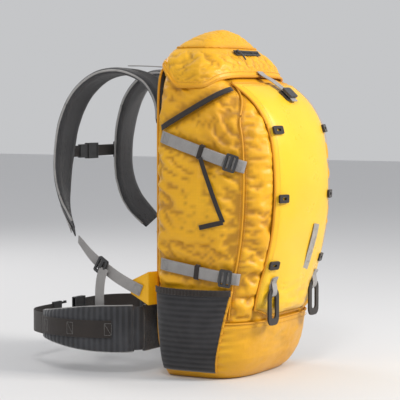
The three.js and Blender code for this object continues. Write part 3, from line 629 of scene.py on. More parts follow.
def pocket_gathers(depth, z):
    """Small level pleats in the cloth just in front of the pocket's front edge."""
    beside = depth - pocket_front(z)
    fade = np.exp(-(np.clip(beside - 6, 0, 99) / 12) ** 2)
    return np.sin(z / 2.3 + 0.8 * np.sin(z / 11)) * fade * (beside > 0)


def ridged(folds):
    """Smooth noise turned into rounded cloth between sharp ridges."""
    return 1 - np.minimum(np.abs(folds) * 1.9, 1.0) ** 0.7


def blurred(values, reach):
    """Values of a grid that closes on itself across its columns, averaged over their neighbours twice."""
    for _ in range(2):
        values = sum(np.roll(values, s, 1) for s in range(-reach, reach + 1)) / (2 * reach + 1)
        rows = np.pad(values, ((reach, reach), (0, 0)), mode="edge")
        values = sum(rows[reach + s: reach + s + len(values)] for s in range(-reach, reach + 1)) / (2 * reach + 1)
    return values


def bag_cloth():
    fine, run = outline_run(150, 210, 0)
    turn = even_turns(AROUND, fine, run)
    tt, zz = np.meshgrid(turn, np.linspace(4.0, BAG_TOP, RISE))
    x, y = outline(tt, at(HALF_WIDTH, zz), at(DEPTH, zz), 0)
    base = np.stack([x, y, zz], -1)
    normal = bag_normal(x, y, zz)
    depth = BACK - y
    total = at(DEPTH, zz)
    # where the cloth is free, from 0 to 1
    on_panel = (np.abs(x) < PANEL_HALF - 2) & (depth > total * 0.55)
    free = np.where(on_panel, 0.0, 1.0)
    free *= smooth_step(3, 22, depth) * smooth_step(98, 116, zz) * smooth_step(BAG_TOP - 4, BAG_TOP - 26, zz)
    seam = np.abs(depth - seam_depth(zz))
    free *= smooth_step(0.5, 9, seam)
    edge = np.where(depth > total * 0.55, np.abs(np.abs(x) - PANEL_HALF), 99)
    free *= smooth_step(0, 8, edge)
    under = np.ones_like(zz)
    for level, reach, hold in (("upper", 182, 10), ("lower", 170, 10), ("lid", 141, 6)):
        rows = (depth > 14) & (depth < reach)
        gap = np.abs(zz - strap_height(level, depth))
        under = np.where(rows, np.minimum(under, smooth_step(hold, hold + 20, gap)), under)
    pocket = (depth > 10) & (depth < pocket_front(zz) + 8) & (zz < POCKET_TOP + 8)
    gusset = depth > seam_depth(zz)
    # folds: across the gusset they lie level, behind the seam they run down to the straps
    level_folds = fractal(base, (95, 95, 17), 1) + 0.5 * fractal(base, (50, 50, 9), 2)
    slant = base + np.stack([0 * zz, 0 * zz, 0.45 * depth], -1)
    side_folds = fractal(slant, (70, 70, 26), 3) + 0.5 * fractal(slant, (34, 34, 16), 4)
    level_cut, side_cut = ridged(level_folds), ridged(side_folds)
    gather = smooth_step(330, 150, zz) * 0.9 + 0.45
    loose = free * (0.3 + 0.7 * under)
    relief = np.where(gusset, 7.0 * gather * (0.5 - level_cut), 5.5 * (0.45 - side_cut)) * loose
    belly = 4.4 * smooth_step(6, 50, seam) * free * under
    start = base + normal * (relief + belly)[..., None]
    limit = np.where(pocket, 1.2, 0.9 + 8.5 * under * np.sqrt(free))
    piece = grid_piece("bag_cloth", start, yellow, None, around=True)
    held = 1 - np.minimum(free * (0.25 + 0.75 * under), 0.995)
    moved = settle(piece, np.ravel(held), 2.0, 0.06).reshape(base.shape)
    shift = moved - base
    out = np.sum(shift * normal, -1)
    along = shift - out[..., None] * normal
    out = 0.5 * belly + 0.4 * relief + 0.95 * (out - blurred(out, 7))
    out = out + np.where(gusset, 1.9 * gather * (0.5 - level_cut) * loose, 0)
    # the pocket's front edge gathers the cloth beside it
    out += 1.3 * pocket_gathers(depth, zz) * (zz > 100) * (zz < 156)
    over = np.maximum(out - limit + 5.0, 0)
    out = np.where(over > 0, limit - 5.0 + over / (1 + over / 5.5), out)
    out = np.clip(out, -3.4, limit)
    size = np.linalg.norm(along, axis=-1, keepdims=True)
    along *= np.minimum(1, 3.5 / np.maximum(size, 1e-6))
    groove = 1.3 * np.exp(-(seam / 2.2) ** 2) * (zz > 100) + 1.0 * np.exp(-(edge / 3.0) ** 2)
    final = base + normal * (out - groove)[..., None] + along
    # painted shade: darker in the valleys between folds and along the side seam's groove
    set_surface(piece, final, np.clip((blurred(out, 3) - out) / 1.8, 0, 1) + 0.7 * np.exp(-(seam / 3.0) ** 2))
    # lined
    inner_z = np.concatenate([[14.0], np.linspace(24, BAG_TOP, 40)])
    tt2, zz2 = np.meshgrid(turn, inner_z)
    grow = np.where(zz2 < 20, 11.0, 4.6 + 3.6 * smooth_step(BAG_TOP - 2, BAG_TOP - 30, zz2))
    ix, iy = outline(tt2, at(HALF_WIDTH, zz2) - grow, at(DEPTH, zz2) - grow, 4.6)
    wall = np.stack([ix, iy, zz2], -1)
    pleat = 1.2 * fractal(wall, (40, 40, 60), 9)
    pleat *= smooth_step(14, 60, zz2) * smooth_step(BAG_TOP, BAG_TOP - 40, zz2)
    wall = wall + bag_normal(ix, iy, zz2) * (pleat - 0.8)[..., None]
    rows = len(inner_z)
    points = np.concatenate([wall.reshape(-1, 3), [[0, BACK - 75, 14.0]]])
    faces = [f[::-1] for f in grid_faces(rows, AROUND, True)]
    faces += [((c + 1) % AROUND, c, rows * AROUND)[::-1] for c in range(AROUND)]
    u = np.broadcast_to(run[-1] * MM * np.arange(AROUND) / AROUND, (rows, AROUND))
    v = np.broadcast_to(inner_z[:, None] * MM, (rows, AROUND))
    uvs = np.concatenate([np.stack([u, v], -1).reshape(-1, 2), [[0, 0]]])
    inside = new_piece("bag_lining", points, faces, lining, "pack", uvs)
    thicken(inside, 0.8, 1)
    # a hem rolled over the top joins cloth and lining
    ring = np.stack([*outline(turn, 116 - 2.6, 112 - 2.6, 2.6), np.full(AROUND, BAG_TOP - 2.0)], -1)
    tube("bag_rim", ring, 2.5, binding, "pack", closed=True, sides=12)
    thicken(piece, 1.2)
    subdivide(piece)
    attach(piece, "pack")
    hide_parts("bag_body")


bag_cloth()


# upright side seams with a folded welt and twin stitching
for name, side in LEFT_RIGHT:
    heights = np.linspace(104, 497, 130)
    path, normals = on_side(side, seam_depth(heights), heights, -0.2)
    tube(f"side_seam_{name}", path, 1.7, binding, "pack")
    for k, shift in enumerate((-4.2, 4.2)):
        path, normals = on_side(side, seam_depth(heights) + shift, heights, 0.5)
        stitches(f"side_stitch_{name}_{k}", path, normals, yellow_thread, "pack")


# ---------------------------------------------------------------- front panel
def panel_offset(x, z):
    across = 1 - np.minimum(np.abs(x / PANEL_HALF), 1) ** 2
    up = np.sin(np.pi * np.clip((z - PANEL_LOW) / 388, 0, 1))
    return 5.0 + 4.5 * across * np.sqrt(np.maximum(up, 0))


def panel_bottom(x):
    return PANEL_LOW + 13 * smooth_step(55, PANEL_HALF, np.abs(x))


def front_panel():
    ss, t = np.meshgrid(np.linspace(-1, 1, 76), np.linspace(0, 1, 150))
    x = PANEL_HALF * ss
    low = panel_bottom(x)
    z = low + (PANEL_TOP - low) * t
    off = panel_offset(x, z)
    grid = np.stack([x, 0 * x, z], -1)
    soft = fractal(grid, (150, 1, 90), 21, 2) * 1.6
    # the load leans on the lower part, which folds over the base's seam
    height = z - low
    sag = 11.0 * smooth_step(0, 17, height) ** 0.7 * smooth_step(130, 24, height) * (1 - 0.45 * np.abs(ss))
    sag = sag * (1 - 0.65 * np.exp(-((np.abs(x) - 78) / 26) ** 2))
    pull = fractal(grid, (44, 1, 12), 22) * 3.2 * smooth_step(90, 6, height)
    border = np.minimum(np.minimum(PANEL_HALF - np.abs(x), PANEL_TOP - z), height)
    rim = smooth_step(0, 7, border)
    off = (off + soft + sag + pull) * rim + 1.9 * (1 - rim) - 0.9 * np.exp(-((border - 9) / 1.6) ** 2)
    points, _ = on_front(x, z, off)
    # painted shade: darker in the fold under the panel's sagging lower edge and along its sewn border, varying with the
    # pulled folds near the bottom
    valley_shade = np.clip(1.0 * np.exp(-(height / 7) ** 2) + 0.35 * np.exp(-(border / 3) ** 2) - 0.25 * pull, 0, 1)
    piece = grid_piece("front_panel_cloth", points, lit_panel_nylon, "pack", crease_shade=valley_shade, thick=1.4)
    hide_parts("front_panel")
    # piping round the edge and a row of stitches inside it
    up, across = np.linspace(0, 1, 150), np.linspace(-1, 1, 70)
    edge_x = np.concatenate([across, np.full(150, 1), across[::-1], np.full(150, -1)])[:-1]
    edge_t = np.concatenate([np.zeros(70), up, np.ones(70), up[::-1]])[:-1]

    def border_line(inset):
        x = edge_x * (PANEL_HALF - inset)
        low = panel_bottom(edge_x * PANEL_HALF) + inset
        z = low + (PANEL_TOP - inset - low) * edge_t
        keep = np.concatenate([[True], (np.abs(np.diff(x)) + np.abs(np.diff(z))) > 0.05])
        return x[keep], z[keep]

    x, z = border_line(0)
    path, _ = on_front(x, z, 1.6 + 0 * x)
    tube("front_panel_piping", path, 1.9, binding, "pack", closed=True)
    x, z = border_line(7.2)
    path, normals = on_front(x, z, panel_offset(x, z) + 0.4)
    stitches("front_panel_stitch", path, normals, yellow_thread, "pack", lift=0.5)


front_panel()


# ---------------------------------------------------------------- base
def base_boot():
    columns = 200
    fine, run = outline_run(140, 173, 0)
    # round the front, from one rear corner to the other
    first, last = np.interp(2.55, fine, run), run[-1] + np.interp(0.592, fine, run)
    turn = np.interp(np.linspace(first, last, columns) % run[-1], run, fine)
    z = np.concatenate([[0.0], BOOT_TOP * np.linspace(0, 1, 43) ** 1.15 * 0.985 + 1.2])
    tt, zz = np.meshgrid(turn, z)
    off = np.where(zz < 1, 1.0, 3.0)
    x, y = outline(tt, at(HALF_WIDTH, zz) + off, at(DEPTH, zz) + off, -0.2)
    base = np.stack([x, y, zz], -1)
    wrinkle = fractal(base, (46, 46, 20), 31) * 1.7 * smooth_step(6, 34, zz) * smooth_step(BOOT_TOP, 84, zz)
    puff = 1.6 * np.sin(np.pi * np.clip(zz / BOOT_TOP, 0, 1))
    puff = puff + 1.5 * pocket_gathers(BACK - y, zz) * smooth_step(8, 20, zz)
    normal = bag_normal(x, y, np.maximum(zz, 2))
    lip = smooth_step(97, 90, zz)
    moved = base + normal * ((wrinkle + puff) * lip - 1.2 * (1 - lip))[..., None]
    moved[..., 2] = np.where(zz < 1.5, zz, np.maximum(moved[..., 2], 0.4))
    # painted shade: darker in the hollows of the wrinkles
    piece = grid_piece("base_cloth", moved, shaded_boot_nylon, None, crease_shade=np.clip(-wrinkle * 0.4, 0, 1), thick=1.6)
    # the flat underside
    flat = np.vstack([moved[0], [[0.0, 0.0, 0.0]]])
    under = [(columns, i + 1, i) for i in range(columns - 1)] + [(columns, 0, columns - 1)]
    thicken(new_piece("base_sole", flat, under, shaded_boot_nylon, "pack", flat[:, :2] * MM, smooth=False), 1.6)
    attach(piece, "pack")
    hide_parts("base_boot")
    path = moved[-1] + normal[-1] * 0.9
    tube("base_piping", path, 1.6, binding, "pack")
    ring = np.full(columns, 90.0)
    x, y = outline(turn, at(HALF_WIDTH, ring) + 3, at(DEPTH, ring) + 3, -0.2)
    n = bag_normal(x, y, ring)
    path = np.stack([x, y, ring], -1) + n * 1.5
    stitches("base_stitch", path, n, yellow_thread, "pack", lift=0.4)


base_boot()


# ---------------------------------------------------------------- side pockets
def side_pocket(name, side):
    rows = 56
    s, t = np.meshgrid(np.linspace(0, 1, 70), np.linspace(0, 1, rows))
    z = POCKET_LOW + (POCKET_TOP - POCKET_LOW) * t
    depth = POCKET_REAR + (pocket_front(z) - POCKET_REAR) * s
    bulge = 11 * np.sin(np.pi * s) ** 0.8 * np.minimum(t * 1.6, 1)
    gather = 1.1 * np.sin(2 * np.pi * s * 21) * smooth_step(0.9, 1.0, t) * np.sin(np.pi * s)
    sag = 1.2 * fractal(np.stack([depth, 0 * z, z], -1), (30, 1, 12), 41 + side)
    sag = sag * np.sin(np.pi * s) * np.sin(np.pi * t)
    points, normals = on_side(side, depth, z, 6.6 + bulge + gather + sag)
    piece = grid_piece(f"pocket_cloth_{name}", points, stretch, "pack", thick=1.8, flip=side > 0)
    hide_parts(f"side_pocket_{name}")
    top, out = points[-1], normals[-1]
    webbing(f"pocket_band_{name}", top + [0, 0, -3.0] + out * 0.3, out, 11, 3.0, dark_web, "pack")
    edge, out = on_side(side, pocket_front(z[:, 0]) + 1.5, z[:, 0], 4.4)
    ruffle = 1.8 * np.sin(np.arange(rows) * 1.9) + 1.0 * np.sin(np.arange(rows) * 3.1)
    tube(f"pocket_seam_{name}", edge + out * np.abs(ruffle)[:, None] * 0.5, 2.3, binding, "pack")


for name, side in LEFT_RIGHT:
    side_pocket(name, side)


# ---------------------------------------------------------------- side straps
def side_strap(name, side, ends, width, off, material, node, steps=46):
    depth, z = np.linspace(*ends, steps).T
    path, normals = on_side(side, depth, z, off)
    strap = webbing(name, path, normals, width, 1.6, material, "pack")
    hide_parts(node)
    return path, normals


for name, side in LEFT_RIGHT:
    for level in ("upper", "lower"):
        path, normals = side_strap(f"{level}_strap_{name}", side, STRAPS[level], 20, 2.4, grey_web,
                                   f"{level}_compression_strap_{name}")
        for where, i in (("front", -4), ("rear", 3)):
            along = path[i + 1] - path[i - 1]
            box_stitch(f"{level}_tack_{where}_{name}", path[i] + normals[i] * 0.8, along, normals[i], 14, 12,
                       grey_thread, "pack")
        # the free end, doubled back over the strap and held down by a keeper
        buckle = int(len(path) * 0.84)
        run, out = path[buckle - 17:buckle - 2][::-1], normals[buckle - 17:buckle - 2][::-1]
        rise = 1.9 + 1.3 * np.sin(np.linspace(0, 3.1, 15))
        webbing(f"{level}_tail_{name}", spline(run + out * rise[:, None], 40), spline(out, 40), 19, 1.5, grey_web,
                "pack")
        spot, out = path[buckle - 15], normals[buckle - 15]
        across = np.cross(unit(path[buckle - 14] - path[buckle - 16]), out)
        over = np.linspace(-1, 1, 25)
        arch = 4.6 - 5.0 * smooth_step(0.8, 1.0, np.abs(over))
        webbing(f"{level}_keeper_{name}", spot + np.outer(over * 12.5, across) + np.outer(arch, out),
                np.broadcast_to(out, (25, 3)), 9, 1.2, dark_web, "pack")
    side_strap(f"lid_strap_{name}", side, STRAPS["lid"], 10, 3.6, dark_web, f"lid_side_strap_{name}", 50)
    # a thin tensioner folded between the two straps
    for k, (a, b) in enumerate((((104, 372), (146, 268)), ((146, 268), (104, 258)))):
        depth, z = np.linspace(a, b, 26).T
        path, normals = on_side(side, depth, z, 8.4 + 0.7 * k)
        webbing(f"tensioner_{k}_{name}", path, normals, 8, 1.4, dark_web, "pack")

# the tab that each ice axe loop hangs from, folded through it and sewn down
for name, side in LEFT_RIGHT:
    top, normal = on_front(side * 78.0, 176.0, 9.5)
    fold = spline(np.array([top, [side * 78, -125.5, 162], [side * 78, -124.6, 154], [side * 78, -124.2, 148],
                            [side * 78, -127.3, 141.5], [side * 78, -130.6, 148], [side * 78, -130.2, 156],
                            [side * 78, -129.2, 164], top + normal * 2.2]), 60)
    tangent = unit(np.gradient(fold, axis=0))
    webbing(f"axe_tab_{name}", fold, np.cross(tangent, [1.0, 0, 0]), 16, 1.5, grey_web, "pack")
    box_stitch(f"axe_tack_{name}", top * 0.5 + np.array([side * 78, -127.6, 164]) * 0.5 + normal * 1.4,
               top - np.array([side * 78, -128.0, 164]), normal, 11, 9, grey_thread, "pack")

# grey bar on the panel
x, z = np.linspace((15, 170), (27, 258), 30).T
path, normals = on_front(x, z, panel_offset(x, z) + 2.6 + 2.2 * smooth_step(120, 30, z - PANEL_LOW))
webbing("reflective_bar", path, normals, 21, 0.8, bar_film, "pack")


# ---------------------------------------------------------------- lid
LID_SEAM = 556


def lid_low(turn):
    """The height of the lid's lower edge: clear of the bag in front, and above the hinge behind."""
    heights = np.linspace(488, 545, 115)
    low = np.full(turn.shape, 488.0)
    for z in heights:
        x, y = outline(turn, at(LID_HALF, z), at(LID_FRONT, z), at(LID_REAR, z))
        half, deep = at(HALF_WIDTH, min(z, BAG_TOP)), at(DEPTH, min(z, BAG_TOP)) / 2
        grown = (np.abs(x) / (half + 4.2)) ** FRONT_ROUND + (np.abs(y - BACK + deep) / (deep + 4.2)) ** FRONT_ROUND
        inside = (grown < 1) & (z < 515) & (y < BACK - 30)
        wedge = z < np.where(y > BACK - 8, 529, 528 - (BACK - 8 - y) * 58 / 54)
        low = np.where(inside | wedge, z + 0.5, low)
    return low


def lid_shell():
    columns, rows = 176, 72
    turn = even_turns(columns, *outline_run(110, 112, 3))
    low = lid_low(turn)
    low = sum(np.roll(low, s) for s in range(-2, 3)) / 5
    t = np.linspace(0, 1, rows)[:, None]
    zz = low + (586 - low) * np.sin(t * math.pi / 2) ** 1.15
    tt = np.broadcast_to(turn, zz.shape)
    shrink = np.where(t > 0.9, 1 - smooth_step(0.9, 1.0, t) * 0.93, 1.0)
    x, y = outline(tt, at(LID_HALF, zz), at(LID_FRONT, zz), at(LID_REAR, zz))
    middle = BACK - 62.0
    x, y = x * shrink, middle + (y - middle) * shrink
    base = np.stack([x, y, zz + 0.9 * smooth_step(0.9, 1.0, t)], -1)
    du = np.roll(base, -1, 1) - np.roll(base, 1, 1)
    dv = np.gradient(base, axis=0)
    normal = unit(np.cross(du, dv))
    seam = np.abs(zz - LID_SEAM)
    edge = zz - low
    folds = ridged(fractal(base, (52, 52, 24), 51) + 0.5 * fractal(base, (24, 24, 14), 52))
    slack = smooth_step(2, 16, seam) * smooth_step(5, 18, edge) * np.where(zz > LID_SEAM, 0.75, 1.0)
    start = base + normal * (2.4 * (0.45 - folds) * slack)[..., None]
    piece = grid_piece("lid_cloth", start, yellow, None, around=True)
    moved = settle(piece, np.ravel(1 - 0.98 * slack), 1.6, 0.03, 14).reshape(base.shape)
    shift = moved - base
    out = np.clip(np.sum(shift * normal, -1), -3.2, 3.4)
    out -= 1.4 * np.exp(-(seam / 2.4) ** 2) * (np.sin(tt) < 0.9)
    out += 1.0 * smooth_step(9, 7, edge)
    final = base + normal * out[..., None]
    # painted shade: darker in the valleys between folds and along the lid's seam groove
    mean = sum(np.roll(out, s, 1) for s in range(-3, 4)) / 7
    crease_shade = np.clip((mean - out) / 1.6, 0, 1) + 0.6 * np.exp(-(seam / 3.5) ** 2)
    set_surface(piece, final, crease_shade)
    bm = bmesh.new()
    bm.from_mesh(piece.data)
    bm.verts.ensure_lookup_table()
    bm.faces.new([bm.verts[(rows - 1) * columns + c] for c in range(columns)])
    bm.to_mesh(piece.data)
    bm.free()
    piece.data.shade_smooth()
    thicken(piece, 2.2)
    subdivide(piece)
    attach(piece, "lid")
    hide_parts("lid_shell")
    # hem, seam piping and stitching
    tube("lid_hem", final[0] + normal[0] * 0.4, 2.4, binding, "lid", closed=True)
    row = np.argmin(np.abs(edge - 8), axis=0), np.arange(columns)
    stitches("lid_hem_stitch", final[row], normal[row], yellow_thread, "lid", lift=0.5)
    row = np.argmin(seam, axis=0), np.arange(columns)
    tube("lid_piping", final[row] + normal[row] * 0.9, 1.7, binding, "lid", closed=True)


lid_shell()

# the fabric hinge behind the lid
turn, z = np.meshgrid(np.linspace(0.39, math.pi - 0.39, 150), np.linspace(507, 534, 16))
flare = smooth_step(508, 530, z)
gathers = 0.5 * np.sin(turn * 70) * np.sin(np.pi * (z - 507) / 27)
x, y = outline(turn, 117.6 + 5.6 * flare + gathers, 114, 0.4 * flare - 0.4 - gathers)
joint = grid_piece("lid_hinge_cloth", np.stack([x, y, z], -1), yellow, None, thick=1.0)
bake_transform(joint)


# ---------------------------------------------------------------- collar and its cord
def collar():
    columns = 200
    turn = even_turns(columns, *outline_run(76, 76, 28))
    # height, half width, and depth of the front and the rear
    curve = spline([(508, 111, 104, 3), (516, 108, 99, 5), (520, 92, 88, 16), (525, 76, 76, 28),
                    (533, 73.5, 74, 30), (541, 75, 75.5, 28.5)], 26)
    tt, zz = np.meshgrid(turn, curve[:, 0])
    half, front, rear = (curve[:, k][:, None] + 0 * tt for k in (1, 2, 3))
    lap = np.arange(columns) * 2 * math.pi / columns
    pleats = np.sin(lap * 34) + 0.5 * np.sin(lap * 13 + 1)
    swell = 1.3 * pleats[None, :] * smooth_step(512, 526, zz)
    x, y = outline(tt, half - 1.6 + swell, front - 1.6 + swell, rear + 1.6 - swell)
    # painted shade: darker in the hollows between the pleats
    piece = grid_piece("collar_cloth", np.stack([x, y, zz], -1), yellow, "pack", around=True, thick=0.9,
                       crease_shade=np.clip(-swell * 0.5, 0, 1))
    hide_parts("snow_collar")
    ring = np.stack([*outline(turn, 75, 75.5, 28.5), np.full(columns, 540.5)], -1)
    tube("collar_hem", ring, 1.8, binding, "pack", closed=True)


collar()
turn = 2 * math.pi * np.arange(120) / 120 - math.pi / 2
power = 2 / np.where(np.sin(turn) > 0, BACK_ROUND, FRONT_ROUND)
across = np.sign(np.cos(turn)) * np.abs(np.cos(turn)) ** power
along = np.sign(np.sin(turn)) * np.abs(np.sin(turn)) ** power
away = 3 + 7 * np.maximum(0, -np.sin(turn)) ** 12
path = np.stack([79 * across, BACK - (52 - (24 + away) * along), np.full(120, 533.0)], -1)
loop = tube("drawcord", path, 1.5, cord_braid, "pack", closed=True)
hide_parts("collar_drawcord")


# ---------------------------------------------------------------- lid zip and closure
def rigid(node, material, width=0.6, segments=2):
    """A moulded CAD piece keeps its shape and gets softened edges and its finish."""
    piece = bpy.data.objects[node]
    piece.data.materials.clear()
    piece.data.materials.append(material)
    for polygon in piece.data.polygons:
        polygon.material_index = 0
    bevel(piece, width, segments)
    return piece


outward = np.array([0, -math.sin(0.85), math.cos(0.85)])
slope = np.cross([1, 0, 0], outward)
centre = np.array([0, BACK - 106.5, 546.0])
flap_x = np.linspace(-44, 44, 60)
path = centre + outward * 1.2 + np.outer(flap_x, [1, 0, 0])
tape = webbing("zip_tape_piece", path, np.broadcast_to(outward, path.shape), 11, 1.8, zip_cloth, "lid")
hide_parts("lid_zip")
teeth_points, teeth_faces = [], []
for k, tx in enumerate(np.arange(-41, 41, 1.5)):
    shift = 0.45 if k % 2 else -0.45
    middle = centre + outward * 2.2 + np.array([tx, 0, 0]) + slope * shift
    first = len(teeth_points)
    for dx in (-0.5, 0.5):
        for ds in (-1.3, 1.3):
            for dn in (-0.2, 0.35):
                teeth_points.append(middle + [dx, 0, 0] + slope * ds + outward * dn)
    a = first
    teeth_faces += [(a, a + 1, a + 3, a + 2), (a + 4, a + 6, a + 7, a + 5), (a, a + 4, a + 5, a + 1),
                    (a + 2, a + 3, a + 7, a + 6), (a + 1, a + 5, a + 7, a + 3), (a, a + 2, a + 6, a + 4)]
new_piece("zip_teeth", np.array(teeth_points), teeth_faces, plastic, "lid", smooth=False)
pull_start = np.array([-37.0, BACK - 106.5, 546.0]) + outward * 5.2
tube("zip_pull", [pull_start, pull_start + slope * 6 + outward * 1.0, pull_start + slope * 13 + outward * 1.2,
                  pull_start + slope * 20 + outward * 0.6], [1.0, 1.3, 1.5, 1.2], cord_braid, "zip_slider")

spots = [(np.array([0, BACK - 131.5, 515.0]), unit(np.array([0, -1, 0.4])))]
p, n = on_front(0.0, 500.0, 9.5)
spots.append((p, n))
for h in (490, 480, 472, 464, 456):
    p, n = on_front(0.0, float(h), panel_offset(0.0, float(h)) + 6.4)
    spots.append((p, n))
path = spline(np.array([s[0] for s in spots]), 60)
normals = unit(spline(np.array([s[1] for s in spots]), 60))
tongue = webbing("closure_tongue", path, normals, 20, 1.6, grey_web, "lid")
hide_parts("lid_closure_tongue")

# ---------------------------------------------------------------- padded back, harness and belt
def pad_section(width, thick, columns=28, channels=(), depth=2.0):
    """A crowned pad's section with rounded sides. Channels are sewn lines across the width, -1 to 1."""
    a = np.linspace(0, 2 * math.pi, 2 * columns, endpoint=False)
    across = np.sign(np.cos(a)) * np.abs(np.cos(a)) ** (2 / 5.5)
    out = np.sign(np.sin(a)) * np.abs(np.sin(a)) ** (2 / 2.4)
    dent = sum((np.exp(-((across - c) / 0.09) ** 2) for c in channels), np.zeros_like(a))
    return np.stack([across * width / 2, out * thick / 2 * (1 - dent * depth / thick)], -1)


def padded_strap(name, rows, steps, material, body, node, channels, seed):
    """rows are x, y, z, the face's direction (3 numbers), width and thickness."""
    data = spline(np.array(rows, float), steps)
    path, normals = data[:, :3], unit(data[:, 3:6])
    taper = np.sin(np.clip(np.linspace(0, 1, steps) * 12, 0, 1) * math.pi / 2)
    taper = np.minimum(taper, taper[::-1]) ** 0.5
    sections = np.stack([pad_section(w - 1.0, (t - 0.6) * max(k, 0.28), channels=channels)
                         for w, t, k in zip(data[:, 6], data[:, 7], taper)])
    piece = swept(name, path, normals, sections, material, None)
    co = np.empty(len(piece.data.vertices) * 3)
    piece.data.vertices.foreach_get("co", co)
    co = co.reshape(-1, 3) / MM
    mid = np.repeat(path, sections.shape[1], 0)
    away = unit(co - mid)
    co += away * (0.5 * fractal(co, (18, 18, 18), seed))[:, None]
    piece.data.vertices.foreach_set("co", (co * MM).ravel())
    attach(piece, body)
    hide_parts(node)
    return path, normals, data


SHOULDER = [
    (62, 21.5, 428, 0, -1, 0, 54, 11), (63, 24, 466, 0, -0.95, 0.3, 56, 12), (66, 47, 500, 0, -0.5, 0.87, 60, 13),
    (73, 90, 516, 0, 0.1, 1, 64, 13), (82, 135, 508, 0, 0.6, 0.8, 66, 13), (90, 172, 476, 0, 0.88, 0.47, 66, 13),
    (96, 194, 428, 0, 0.98, 0.2, 64, 13), (99, 203, 375, 0, 1, 0, 60, 12), (104, 203, 325, 0.1, 1, -0.1, 54, 12),
    (115, 190, 280, 0.35, 0.9, -0.2, 46, 11), (132, 160, 240, 0.65, 0.7, -0.3, 36, 10)]


def placed(side, rows):
    return [(side * r[0], BACK + r[1], r[2], side * r[3], *r[4:]) for r in rows]


def both_edges(name, path, normals, widths, inset, radius, material, body):
    _, sideways, _ = frames_along(path, normals)
    for k, s in (("inner", -1), ("outer", 1)):
        edge = path + sideways * (s * (widths / 2 - inset))[:, None]
        tube(f"{name}_{k}", edge, radius, material, body)


for name, side in LEFT_RIGHT:
    path, normals, data = padded_strap(f"shoulder_pad_{name}", placed(side, SHOULDER), 110, mesh_pad, "pack",
                                       f"shoulder_strap_{name}", channels=(-0.45, 0.45), seed=62)
    both_edges(f"shoulder_piping_{name}", path[2:-2], normals[2:-2], data[2:-2, 6], 1.5, 2.0, grey_binding,
               "pack")
    spine = path[40:-1] + normals[40:-1] * (data[40:-1, 7:8] / 2 + 0.3)
    webbing(f"shoulder_spine_{name}", spine, normals[40:-1], 18, 1.4, grey_web, "pack")
    for k in range(4, 60, 9):
        _, sideways, _ = frames_along(spine, normals[40:-1])
        bar_path = spine[k] + np.outer(np.linspace(-8, 8, 6), sideways[k]) + normals[40 + k] * 0.9
        stitches(f"shoulder_bar_{name}_{k}", bar_path, np.broadcast_to(normals[40 + k], bar_path.shape), dark_thread,
                 "pack", 1.6, 1.5, 0.4)
    rows = placed(side, [(138.5, 148, 227, 0.8, 0.55, -0.3, 20, 1.6), (148, 112, 198, 0.95, 0.25, -0.2, 20, 1.6),
                         (153, 70, 172, 1, 0.05, 0, 20, 1.6), (153.5, 40, 157, 1, 0, 0, 20, 1.6),
                         (152.5, 14, 146, 1, 0, 0, 20, 1.6)])
    data = spline(np.array(rows), 60)
    low = webbing(f"shoulder_web_{name}", data[:, :3], data[:, 3:6], 20, 1.6, grey_web, "pack")
    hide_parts(f"shoulder_webbing_{name}")
    spot = data[55, :3] + np.array([side * 0.9, 0, 0])
    box_stitch(f"fin_tack_{name}", spot, data[57, :3] - data[53, :3], (side, 0, 0), 14, 14, grey_thread, "pack")
    # tail below the ladder lock
    start = np.array([side * 157.5, BACK + 84, 181])
    hang = np.array([start, start + [side * 3, 4, -14], start + [side * 3.5, 7, -38], start + [side * 2, 8, -70]])
    webbing(f"shoulder_tail_{name}", spline(hang, 40), np.tile([side, 0.1, 0.05], (40, 1)), 19, 1.5,
            grey_web, "pack")
    rows = placed(side, [(60, 14.6, 522.5, 0, 0, 1), (64, 40, 524.5, 0, 0, 1), (69, 66, 525.6, 0, 0, 1),
                         (72, 84, 525.8, 0, 0, 1)])
    data = spline(np.array(rows), 40)
    lifter = webbing(f"lifter_web_{name}", data[:, :3], data[:, 3:6], 18, 1.6, grey_web, "pack")
    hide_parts(f"load_lifter_{name}")
    # the yellow fin that the strap is sewn to
    corners = np.array([[2, 122], [36, 140], [40, 160], [2, 178]], float)
    uu, vv = np.meshgrid(np.linspace(0, 1, 24), np.linspace(0, 1, 24))
    low_edge = corners[0] + (corners[1] - corners[0]) * uu[..., None]
    high_edge = corners[3] + (corners[2] - corners[3]) * uu[..., None]
    flat = low_edge + (high_edge - low_edge) * vv[..., None]
    swell = 1.0 * np.sin(np.pi * uu) * np.sin(np.pi * vv) + 0.4 * np.sin(vv * 19) * np.sin(np.pi * uu)
    points = np.stack([side * (149.3 + swell), BACK + flat[..., 0], flat[..., 1]], -1)
    # its root runs forward to the bag's rear corner, where it is sewn on
    root, _ = on_side(side, 7.0, points[:, 0, 2], 2.0)
    lead = np.linspace(0, 1, 10)[:-1][None, :, None]
    points = np.concatenate([root[:, None] * (1 - lead) + points[:, :1] * lead, points], axis=1)
    fin = grid_piece(f"fin_cloth_{name}", points, yellow, "pack", thick=2.6, flip=side < 0)
    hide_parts(f"strap_fin_{name}")


